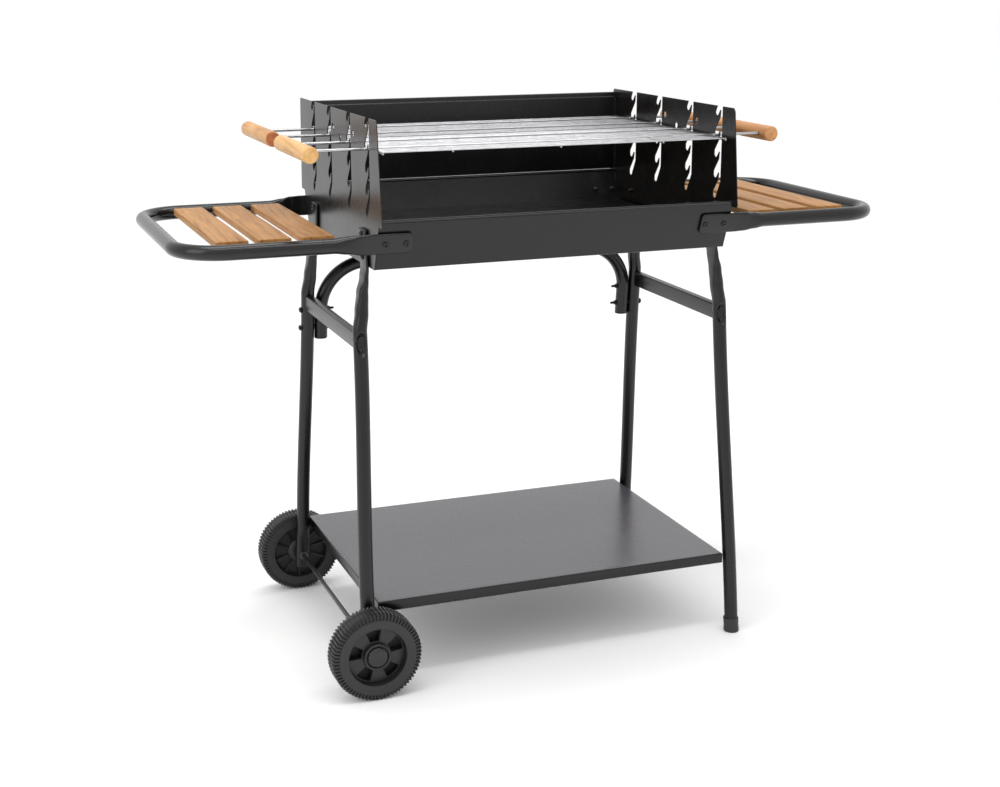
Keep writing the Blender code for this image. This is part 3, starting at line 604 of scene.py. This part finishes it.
def crossbar(label, side):
    """Channel between two legs, its flanges towards +X, with an end tab screwed to each leg."""
    depth, sheet, low, middle, high = 0.014, 0.0018, 0.585, 0.599, 0.613
    web = side * leg_centre(1, 1, middle).x - depth / 2
    far = web + depth
    outline = rounded(
        [(web, low), (web, high), (far, high), (far, high - sheet), (web + sheet, high - sheet),
         (web + sheet, low + sheet), (far, low + sheet), (far, low)],
        [0.0024, 0.0024, 0.0003, 0.0003, 0.0008, 0.0008, 0.0003, 0.0003], 4)
    reach = leg_centre(1, 1, high).y - TUBE * 1.02 - 0.0003
    builder = bmesh.new()
    extrude(builder, outline, 1, -reach, reach)
    for row in (-1, 1):
        tab = row * (reach - 0.0016), row * reach
        box = [(web + sheet, low + 0.003), (web + sheet, high - 0.003), (far - 0.001, high - 0.003),
               (far - 0.001, low + 0.003)]
        extrude(builder, box, 1, min(tab), max(tab))
        hole = Vector((web - 0.0002, row * (reach - 0.010), middle))
        turned(builder, ((0, 0), (0, 0.0022), (0.0004, 0.0026), (0.0006, 0.0026)), 16, hole, X_AXIS)
    steel(label + "_crossbar_channel", builder, label + "_crossbar")


def shelf():
    """Pressed pan: rounded edges, flanges turned down, and a thin sheet edge."""
    half_x, half_y, middle_y, top, flange, sheet, fold = 0.335, 0.240, 0.006, 0.151, 0.019, 0.0014, 0.0030

    def section(reach):
        """Half section from the panel out and down on the outside, then back up inside."""
        out = [(reach - 0.012, top), (reach - fold, top)]
        for step in range(1, 7):
            turn = pi / 2 * step / 6
            out.append((reach - fold + fold * sin(turn), top - fold + fold * cos(turn)))
        low = top - flange
        return out + [(reach, low + 0.0006), (reach - 0.0004, low), (reach - sheet + 0.0003, low),
                      (reach - sheet, top - fold), (reach - fold, top - sheet)]

    builder = bmesh.new()
    loft(builder, [[Vector((a * x, middle_y + b * y, z)) for a, b in ((-1, -1), (1, -1), (1, 1), (-1, 1))]
                   for (y, z), (x, _) in zip(section(half_y), section(half_x))])
    made = steel("shelf_pan", builder, "shelf", 35, SHELF_COAT)
    # the upright flange faces take the black coat and the flat faces the lighter shelf coat: this split by
    # facing is painted light and shade
    made.data.materials.append(POWDER)
    for polygon in made.data.polygons:
        polygon.material_index = 1 if abs(polygon.normal.z) < 0.8 else 0


def slat_rail(label, side, row_label, row):
    """Angle strip under the slats' ends: a ledge, and an upright welded along the tube."""
    low, high = 0.178, 0.2161
    top, sheet = 0.7732, 0.0016
    upright = high - 0.0006
    corners = [(low, top - sheet), (low, top), (upright, top), (upright, top + 0.0045), (high, top + 0.0045),
               (high, top - sheet)]
    outline = rounded([(row * y, z) for y, z in corners], [0.0004, 0.0004, 0.0004, 0.0002, 0.0002, 0.0006], 3)
    start, end = sorted((side * 0.387, side * 0.561))
    builder = bmesh.new()
    extrude(builder, outline, 0, start, end)
    stem = f"{label}_{row_label}_slat_"
    steel(stem + "ledge", builder, stem + "rail")


trough()
rim_highlight_strips()
windshield()
shelf()
for label, side in SIDES:
    crossbar(label, side)
    for row_label, row in ROWS:
        slat_rail(label, side, row_label, row)


# ---- cooking grates

PITCH, ROD_Z = 0.0138, 0.9213
GRATE_Y = {"front": -0.124, "rear": 0.112}
CROSS_X = (-0.31, -0.19, 0.0, 0.19, 0.31)
HANDLE_Y = {("left", "front"): -0.139, ("right", "front"): -0.102,
            ("left", "rear"): 0.1225, ("right", "rear"): 0.1150}
HANDLE_X = {"left": -0.430, "right": 0.419}


def wire_offset(step):
    """The wires outside the rods stand a little closer."""
    return copysign(min(abs(step), 4) * PITCH + max(abs(step) - 4, 0) * 0.0130, step)


def grate(row_label):
    """Welded wire grate: fine wires and two rods along X, on cross wires that end just past them."""
    builder = bmesh.new()
    centre = GRATE_Y[row_label]
    rng = random.Random(7 if row_label == "front" else 19)
    wire_radius, cross_radius, rod_radius = 0.00128, 0.0016, 0.0025
    half_x, crimp_x, crimp_half = 0.3117, 0.352, 0.0062
    wire_z = ROD_Z - 0.0010
    for step in range(-8, 9):
        if abs(step) == 4:
            continue
        y = centre + wire_offset(step)
        sag = rng.uniform(0.0001, 0.0004)
        lift = rng.uniform(-0.0001, 0.0001)
        path = []
        for i in range(25):
            x = -half_x + 2 * half_x * i / 24
            bow = sag * sin(pi * i / 24) + lift
            path.append(Vector((x, y + rng.uniform(-0.00012, 0.00012), wire_z - bow)))
        wire(builder, path, wire_radius, 10)
    for x in CROSS_X:
        cross_z = wire_z - wire_radius - cross_radius + 0.0005
        ends = wire_offset(8) + wire_radius + 0.0009
        near = ends - (0.0030 if x == -0.19 else 0.0)
        path = [Vector((x, centre - near + (near + ends) * i / 12, cross_z)) for i in range(13)]
        wire(builder, path, cross_radius, 10)
    for step in (-4, 4):
        y = centre + step * PITCH
        path = [Vector((-0.436 + 0.861 * i / 108, y, ROD_Z)) for i in range(109)]
        wire(builder, path, rod_radius, 14)
    # short crimps on the rods keep the grate between the end plates
    for vertex in builder.verts:
        for step in (-4, 4):
            y = centre + step * PITCH
            away = abs(abs(vertex.co.x) - crimp_x)
            if away < crimp_half and (vertex.co.y - y) ** 2 + (vertex.co.z - ROD_Z) ** 2 < 0.0028 ** 2:
                press = 1 - ease(away / crimp_half)
                vertex.co.z = ROD_Z + (vertex.co.z - ROD_Z) * (1 - 0.45 * press)
                vertex.co.y = y + (vertex.co.y - y) * (1 + 0.40 * press)
    keep(row_label + "_grate_wires", builder, CHROME[row_label], row_label + "_grate_set",
         [row_label + "_grate"], 60, weld=False)


def grate_handle(label, side, row_label, material):
    """Turned beech grip with eased ends, which the two rods run into."""
    radius, length, edge = 0.0135, 0.200, 0.0024
    start = HANDLE_Y[(label, row_label)] - length / 2
    base = Vector((HANDLE_X[label], start, ROD_Z))
    profile = [(0, 0), (0, radius * 0.5), (0.0001, radius - edge)]
    for i in range(1, 6):
        turn = pi / 2 * i / 5
        profile.append((edge - edge * cos(turn), radius - edge + edge * sin(turn)))
    steps = 24
    for i in range(1, steps):
        swell = 0.00015 * sin(i * 2.1 + start * 50)
        profile.append((edge + (length - 2 * edge) * i / steps, radius - 0.00015 + swell))
    profile += [(length - a, r) for a, r in reversed(profile[:8])]
    builder = bmesh.new()
    turned(builder, profile, 40, base, Y_AXIS)
    stem = f"{row_label}_grate_{label}_"
    made = keep(stem + "grip", builder, material, row_label + "_grate_set", [stem + "handle"], 40)
    if (label, row_label) == ("left", "rear"):
        made.data.materials.append(END_GRAIN)
        for polygon in made.data.polygons:
            polygon.material_index = 1 if polygon.normal.y < -0.95 else 0
    collars = bmesh.new()
    for step in (-4, 4):
        y = GRATE_Y[row_label] + step * PITCH
        # dark ring round each rod at the bore's mouth, its dark colour painted shade of the hole
        mouth = Vector((HANDLE_X[label] - side * (radius - 0.0012), y, ROD_Z))
        turned(collars, ((0, 0.0024), (0.0, 0.0033), (0.0013, 0.0035), (0.0013, 0.0024)), 16, mouth,
               Vector((-side, 0, 0)))
    keep(stem + "bores", collars, BORE_SHADE, row_label + "_grate_set", smooth=40)


for index, (row_label, row) in enumerate(ROWS):
    grate(row_label)
    for number, (label, side) in enumerate(SIDES):
        grate_handle(label, side, row_label, BEECH[2 * index + number])


# ---- wheels, axle and feet

WHEEL_Y = 0.248
WINDOWS = 5


def polar(base, direction, along, radius, turn):
    """Point of a wheel: distance along its axis from the inner face, radius, and turn from +X towards +Z."""
    return base + direction * along + Vector((cos(turn), 0, sin(turn))) * radius


def tyre(builder, base, direction):
    """Hard tread ring: two rows of cross ribs with toothed shoulders, and a flat side band."""
    ribs, parts = 72, 6
    # each entry: along, radius, depth of the gap between two ribs, and the way it also cuts along the axis
    profile = [(0.0040, 0.0510, 0, 0), (0.0008, 0.0530, 0, 0), (0.0004, 0.0640, 0, 0), (0.0006, 0.0676, 0, 0),
               (0.0014, 0.0684, 0.0022, -1), (0.0028, 0.0764, 0.0026, -1), (0.0042, 0.0782, 0.0028, 0),
               (0.0068, 0.0790, 0.0030, 0), (0.0140, 0.0790, 0.0030, 0), (0.0206, 0.0790, 0.0030, 0),
               (0.0214, 0.0780, 0.0020, 0), (0.0220, 0.0762, 0, 0), (0.0240, 0.0762, 0, 0),
               (0.0246, 0.0780, 0.0020, 0), (0.0254, 0.0790, 0.0030, 0), (0.0320, 0.0790, 0.0030, 0),
               (0.0392, 0.0790, 0.0030, 0), (0.0418, 0.0782, 0.0028, 0), (0.0432, 0.0764, 0.0026, 1),
               (0.0450, 0.0690, 0.0024, 1), (0.0457, 0.0680, 0.0004, 1), (0.0460, 0.0664, 0, 0),
               (0.0460, 0.0560, 0, 0), (0.0456, 0.0532, 0, 0), (0.0446, 0.0516, 0, 0),
               (0.0425, 0.0508, 0, 0), (0.0300, 0.0500, 0, 0), (0.0160, 0.0500, 0, 0)]
    loops = []
    for step in range(ribs * parts):
        turn = tau * step / (ribs * parts)
        gap = (0, 1, 1, 1, 0, 0)[step % parts]
        ring = []
        for along, radius, depth, way in profile:
            cut = depth * gap
            inward = cut * (0.4 if way else 1)
            ring.append(polar(base, direction, along - way * cut, radius - inward, turn))
        loops.append(ring)
    loft(builder, loops, closed=True)


def wheel_web(builder, base, direction, phase):
    """Spoked disc: flat flared spokes between open windows, with walls where the windows cut through."""
    half_window = radians(17)
    turns = []
    for k in range(WINDOWS):
        middle = phase + tau * k / WINDOWS
        turns += [(middle - half_window + 2 * half_window * i / 6, i < 6) for i in range(7)]
        gap = tau / WINDOWS - 2 * half_window
        turns += [(middle + half_window + gap * i / 5, False) for i in range(1, 5)]
    radii = [0.0225, 0.0262, 0.0300, 0.0400, 0.0478, 0.0502]
    front, back = 0.0335, 0.0275
    corner = {}

    def vertex(i, j, level):
        key = (i % len(turns), j, level)
        if key not in corner:
            dish = 0.0016 * (radii[j] - radii[0]) / (radii[-1] - radii[0])
            corner[key] = builder.verts.new(polar(base, direction, level - dish, radii[j], turns[key[0]][0]))
        return corner[key]

    def solid(i, j):
        inside = turns[i % len(turns)][1] and 1 <= j <= 3
        return 0 <= j < len(radii) - 1 and not inside

    for i in range(len(turns)):
        for j in range(len(radii) - 1):
            if not solid(i, j):
                continue
            cell = ((i, j), (i + 1, j), (i + 1, j + 1), (i, j + 1))
            builder.faces.new([vertex(a, b, front) for a, b in cell])
            builder.faces.new([vertex(a, b, back) for a, b in reversed(cell)])
            for side, beside in enumerate(((i, j - 1), (i + 1, j), (i, j + 1), (i - 1, j))):
                if not solid(*beside):
                    a, b = cell[side], cell[(side + 1) % 4]
                    builder.faces.new((vertex(*a, front), vertex(*b, front),
                                       vertex(*b, back), vertex(*a, back)))


def wheel(row_label, row):
    base, direction = Vector((AXLE.x, row * WHEEL_Y, AXLE.z)), Vector((0, row, 0))
    phase = radians(95 if row < 0 else 141)

    def part(suffix, builder, smooth, material=PLASTIC, node="wheel"):
        return keep(row_label + suffix, builder, material, row_label + "_wheel_set",
                    [f"{row_label}_{node}"], smooth)

    builder = bmesh.new()
    tyre(builder, base, direction)
    part("_wheel_tread", builder, 32)
    web = bmesh.new()
    wheel_web(web, base, direction, phase)
    bevelled(part("_wheel_spokes", web, 30), 0.0006)
    hub = bmesh.new()
    profile = [(-0.0020, 0.0044), (-0.0020, 0.0105), (-0.0014, 0.0112), (0.0100, 0.0125), (0.0110, 0.0215),
               (0.0120, 0.0228), (0.0400, 0.0243), (0.0424, 0.0240), (0.0433, 0.0232), (0.0433, 0.0214),
               (0.0424, 0.0200), (0.0410, 0.0190), (0.0400, 0.0186), (0.0400, 0.0044)]
    turned(hub, profile, 72, base, direction)
    part("_wheel_hub", hub, 35)
    # an inner disc closes the windows, and its darker plastic is painted shade, so that they read as deep
    # dark pockets
    pockets = bmesh.new()
    profile = [(0.0150, 0.0120), (0.0150, 0.0502), (0.0168, 0.0502), (0.0168, 0.0120)]
    turned(pockets, profile, 72, base, direction)
    part("_wheel_pocket_shade_disc", pockets, 35, POCKET_SHADE_PLASTIC)
    ribs = bmesh.new()
    for k in range(2 * WINDOWS):
        turn = phase + tau * (k + 0.5) / (2 * WINDOWS)
        side = Vector((-sin(turn), 0, cos(turn))) * 0.0010
        profile = [(0.0060, 0.0505), (0.0275, 0.0505), (0.0275, 0.0225), (0.0130, 0.0225)]
        corners = [polar(base, direction, along, radius, turn) for along, radius in profile]
        loft(ribs, [[point - side for point in corners], [point + side for point in corners]])
    part("_wheel_ribs", ribs, 30)
    cap = bmesh.new()
    profile = [(0.0403, 0), (0.0403, 0.0168), (0.0408, 0.0174), (0.0424, 0.0176), (0.0438, 0.0172),
               (0.0449, 0.0160), (0.0454, 0.0146), (0.0455, 0.0135), (0.0453, 0.0130), (0.0453, 0.0124),
               (0.0456, 0.0119), (0.0458, 0.0070), (0.0459, 0)]
    turned(cap, profile, 64, base, direction)
    part("_hub_dome", cap, 50, GLOSS_PLASTIC, "hub_cap")


def axle():
    half = WHEEL_Y + 0.0396
    builder = bmesh.new()
    profile = [(0, 0), (0, 0.0034), (0.0008, 0.0040)]
    profile += [(2 * half - along, radius) for along, radius in reversed(profile)]
    turned(builder, profile, 32, Vector((AXLE.x, -half, AXLE.z)), Y_AXIS)
    keep("axle_rod", builder, STEEL, nodes=["axle"], smooth=40)
    collars = bmesh.new()
    for row in (-1, 1):
        inner = leg_centre(-1, row, AXLE.z).y - row * 0.0080
        base = Vector((AXLE.x, inner, AXLE.z))
        turned(collars, [(0, 0.0041), (0, 0.0078), (0.0004, 0.0082), (0.0014, 0.0082), (0.0018, 0.0078),
                         (0.0018, 0.0041)], 28, base, Vector((0, -row, 0)))
    keep("axle_washers", collars, STEEL, smooth=40)


def foot(row_label, row):
    """Rubber cup with a rolled lip, a grip ring and a rounded rim underneath."""
    profile = [(0.0225, 0.0128), (0.0225, 0.0138), (0.0217, 0.0144), (0.0200, 0.0145), (0.0192, 0.0141),
               (0.0150, 0.0140), (0.0144, 0.0143), (0.0130, 0.0143), (0.0124, 0.0139), (0.0060, 0.0140),
               (0.0020, 0.0143), (-0.0010, 0.0145), (-0.0030, 0.0142), (-0.0040, 0.0134)]
    builder = bmesh.new()
    loft(builder, [stadium(leg_centre(1, row, z), X_AXIS, Y_AXIS, radius, radius, 36)
                   for z, radius in profile])
    keep(f"right_{row_label}_rubber_cup", builder, RUBBER, nodes=[f"right_{row_label}_foot"],
         smooth=40)


axle()
for row_label, row in ROWS:
    wheel(row_label, row)
    foot(row_label, row)


# ---- tray slats

SLAT_X = (0.4105, 0.4810, 0.5515)


def slat(label, side, number, centre_x, material):
    """Planed board with rounded edges, a faint bow along its length and slightly uneven ends."""
    rng = random.Random(31 * number + (5 if side > 0 else 0))
    half, low, high, length, edge = 0.0265, 0.7735, 0.7855, 0.196, 0.0022
    middle = (low + high) / 2
    section = rounded([(-half, low), (half, low), (half, high), (-half, high)],
                      [0.0012, 0.0012, edge, edge], 4)
    rings = []
    stations = [-1.0, -0.9975, -0.992] + [i / 12 for i in range(-11, 12)] + [0.992, 0.9975, 1.0]
    skew = rng.uniform(-0.0008, 0.0008)
    for share in stations:
        shrink = 0.0011 if abs(share) == 1 else 0.0003 if abs(share) > 0.995 else 0.0
        bow = 0.0003 * sin(2.3 * share + number)
        ring = []
        for x, z in section:
            inset_x = x * (1 - shrink / half)
            inset_z = middle + (z - middle) * (1 - shrink / 0.006)
            y = share * length + skew * x / half * abs(share) * (1 if abs(share) > 0.99 else 0)
            ring.append(Vector((side * centre_x + inset_x + bow, max(-length, min(length, y)), inset_z)))
        rings.append(ring)
    builder = bmesh.new()
    loft(builder, rings)
    keep(f"{label}_slat_board_{number}", builder, material, nodes=[f"{label}_slat_{number}"],
         smooth=50)


def rail_screws(label, side):
    """Pan-head screws up through the ledge strips into the slats' ends."""
    builder = bmesh.new()
    for centre_x in SLAT_X:
        for row in (-1, 1):
            base = Vector((side * centre_x, row * 0.187, 0.7716))
            head(builder, base, -Z_AXIS, 0.0036, 0.0020)
    keep(label + "_rail_screws", builder, BOLT, smooth=40)


# ---- bolts and nuts

def head(builder, base, axis, radius, height):
    """Domed head with a hexagon socket."""
    sides = 24
    axis = axis.normalized()
    first = axis.orthogonal().normalized()
    second = axis.cross(first)
    # each entry: shares of the height and the radius, and whether the ring is a hexagon
    profile = [(0, 0.97, 0), (0.12, 1, 0), (0.42, 0.97, 0), (0.72, 0.84, 0), (0.92, 0.64, 0), (1, 0.48, 0),
               (0.97, 0.40, 1), (0.35, 0.37, 1), (0.28, 0, 0)]
    loops = []
    for share, wide, six in profile:
        along = height * share
        if wide == 0:
            loops.append([builder.verts.new(base + axis * along)])
            continue
        ring = []
        for i in range(sides):
            turn = tau * i / sides
            reach = radius * wide
            if six:
                reach *= cos(pi / 6) / cos((turn % (pi / 3)) - pi / 6)
            away = (first * cos(turn) + second * sin(turn)) * reach
            ring.append(builder.verts.new(base + axis * along + away))
        loops.append(ring)
    skin(builder, loops)


def nut(builder, base, axis):
    """Hexagon nut with chamfered corners and a plain collar."""
    across, height = 0.0048, 0.0042
    # each body: its sides, then shares of the height and of the width
    for sides, profile in ((6, ((0, 0.90), (0.12, 1), (0.66, 1), (0.78, 0.88), (0.78, 0))),
                           (24, ((0.70, 0), (0.70, 0.80), (0.92, 0.76), (1, 0.62), (1, 0)))):
        turned(builder, [(height * share, across * wide) for share, wide in profile], sides, base, axis)


def thread(builder, base, axis, length):
    """Threaded end: a ridge at each turn, chamfered at the tip."""
    radius, rise = 0.0025, 0.0008
    profile = [(0, 0), (0, radius * 0.85)]
    along = 0.0
    while along + rise < length - 0.0006:
        profile += [(along + rise / 2, radius), (along + rise, radius * 0.86)]
        along += rise
    profile += [(length - 0.0004, radius * 0.84), (length, radius * 0.62), (length, 0)]
    turned(builder, profile, 16, base, axis)


def washer(builder, base, axis, inner, outer, thick):
    edge = 0.0002
    profile = [(0, inner), (0, outer - edge), (edge, outer), (thick - edge, outer), (thick, outer - edge),
               (thick, inner)]
    turned(builder, profile, 28, base, axis)


def fastener(name, node, face, axis, grip, stub):
    """Bolt head on a face, its shank, and a nut with the thread's end on the far side of the grip."""
    builder = bmesh.new()
    axis = axis.normalized()
    rise, shank = 0.0008, 0.0024
    washer(builder, face + axis * 0.0001, axis, shank, 0.0058, 0.0007)
    head(builder, face + axis * rise, axis, 0.0050, 0.0028)
    turned(builder, [(-grip, 0), (-grip, shank), (rise, shank), (rise, 0)], 16, face, axis)
    back = face - axis * grip
    washer(builder, back, -axis, shank, 0.0056, 0.0006)
    nut(builder, back - axis * 0.0007, -axis)
    thread(builder, back - axis * 0.0040, -axis, stub)
    keep(name, builder, BOLT, nodes=[node], smooth=38)


def fasteners():
    for label, side in SIDES:
        for row_label, row in ROWS:
            corner = f"{label}_{row_label}"
            normal = Vector((0, row * cos(TILT), -sin(TILT)))
            for number, x in enumerate((0.274, 0.310), 1):
                wall = Vector((side * x, row * wall_y(TRAY_BOLT_Z), TRAY_BOLT_Z))
                fastener(f"{corner}_tray_fixing_{number}", f"{corner}_tray_bolt_{number}",
                         wall + normal * 0.0053, normal, 0.0069, 0.0042)
            for number, z in enumerate((0.742, 0.780), 1):
                face = Vector((side * (PLATE_X + 0.0053), leg_centre(1, row, z).y, z))
                fastener(f"{corner}_leg_fixing_{number}", f"{corner}_leg_bolt_{number}",
                         face, X_AXIS * side, 0.0071, 0.0042)
        for number, z in enumerate((0.549, 0.584), 1):
            axis = leg_centre(side, 1, z)
            face = Vector((axis.x + side * (TUBE + 0.0002), axis.y, z))
            grip = (face.x - side * (ARCH_X - TUBE)) * side
            fastener(f"{label}_arch_fixing_{number}", f"{label}_arch_bolt_{number}",
                     face, X_AXIS * side, grip, 0.0085)
            inner = Vector((side * (ARCH_X + TUBE), axis.y, z))
            length = (axis.x - side * TUBE - inner.x) * side
            if length > 0.001:
                spacer = bmesh.new()
                turned(spacer, [(0, 0.0026), (0, 0.0045), (length, 0.0045), (length, 0.0026)], 20,
                       inner, X_AXIS * side)
                keep(f"{label}_arch_spacer_{number}", spacer, BOLT, smooth=40)


def crossbar_screws():
    """Two screws through each pressed seat into the crossbar's end tab."""
    for label, side in SIDES:
        for row_label, row in ROWS:
            builder = bmesh.new()
            for z in BAR_Z:
                axis = leg_centre(side, row, z)
                base = Vector((axis.x, axis.y + row * (TUBE - SEAT_DEPTH), z))
                washer(builder, base, Y_AXIS * row, 0.0022, 0.0052, 0.0006)
                head(builder, base + Y_AXIS * row * 0.0005, Y_AXIS * row, 0.0045, 0.0026)
            keep(f"{label}_{row_label}_crossbar_screws", builder, BOLT, smooth=38)


for first, (label, side) in zip((0, 3), SIDES):
    rail_screws(label, side)
    for number, centre_x in enumerate(SLAT_X, 1):
        slat(label, side, number, centre_x, SLAT_WOOD[first + number - 1])
fasteners()
crossbar_screws()


# ---- CAD nodes that stay

def finish_node(name, material, width):
    """A CAD sheet part keeps its shape and gets a small rounded edge and its finish."""
    node = NODES[name]
    node.data.materials.clear()
    node.data.materials.append(material)
    bevelled(node, width, 40)


for label, side in SIDES:
    finish_node(label + "_end_plate", PLATE, 0.0004)
finish_node("charcoal_grate", POWDER, 0.0003)


# ---- floor, light and camera

def stage_material(name, colour):
    """Matt white studio floor with a barely visible unevenness."""
    shader = Shader(name, Specular_IOR_Level=0.2)
    cloud = shader.noise(1.3, 3.0)
    shader.set("Base Color", shader.mix(cloud, tuple(0.985 * c for c in colour), colour))
    shader.set("Roughness", shader.spread(cloud, 0.75, 0.85))
    shader.bump((shader.noise(90.0, 2.0), 0.02, 0.0005))
    return shader.material


def studio():
    half = 9.0
    mesh = bpy.data.meshes.new("floor")
    corners = [(x, y, -0.0004) for x, y in ((-half, -half), (half, -half), (half, half), (-half, half))]
    mesh.from_pydata(corners, [], [(0, 1, 2, 3)])
    mesh.materials.append(stage_material("studio_floor", (0.97, 0.97, 0.97)))
    floor = add_object("floor", mesh)
    world = bpy.data.worlds.new("studio")
    world.use_nodes = True
    background = world.node_tree.nodes["Background"]
    background.inputs["Color"].default_value = (1, 1, 1, 1)
    background.inputs["Strength"].default_value = 1.0
    bpy.context.scene.world = world
    bpy.context.scene.view_settings.view_transform = "Standard"


def softbox(name, spot, target, width, height, power):
    light = bpy.data.lights.new(name, "AREA")
    light.shape = "RECTANGLE"
    light.size = width
    light.size_y = height
    light.energy = power
    add_object(name, light, spot, target)


def camera():
    azimuth, elevation, distance = radians(-20.870), radians(15.095), 2.9663
    target = Vector((-0.0205, 0.0, 0.4345)) + DATUM
    level = cos(elevation) * distance
    away = Vector((sin(azimuth) * level, -cos(azimuth) * level, sin(elevation) * distance))
    data = bpy.data.cameras.new("camera")
    data.sensor_width = 36.0
    data.lens = 56.883
    data.clip_end = 60.0
    bpy.context.scene.camera = add_object("camera", data, target + away, target)


studio()
softbox("left_softbox", (-3.0, -1.2, 1.9), (0, 0, 0.6), 1.8, 2.2, 22.0)
softbox("top_strip", (-0.1, 0.35, 3.0), (0, 0, 0.8), 2.6, 0.60, 28.0)
softbox("front_strip", (-0.1, -1.05, 2.9), (0, 0, 0.8), 2.6, 0.30, 16.0)
sky = bpy.data.lights.new("sky", "SUN")
sky.energy = 0.2
sky.angle = radians(60)
add_object("sky", sky).rotation_euler = (radians(20), radians(-25), 0)
camera()
bpy.context.view_layer.update()
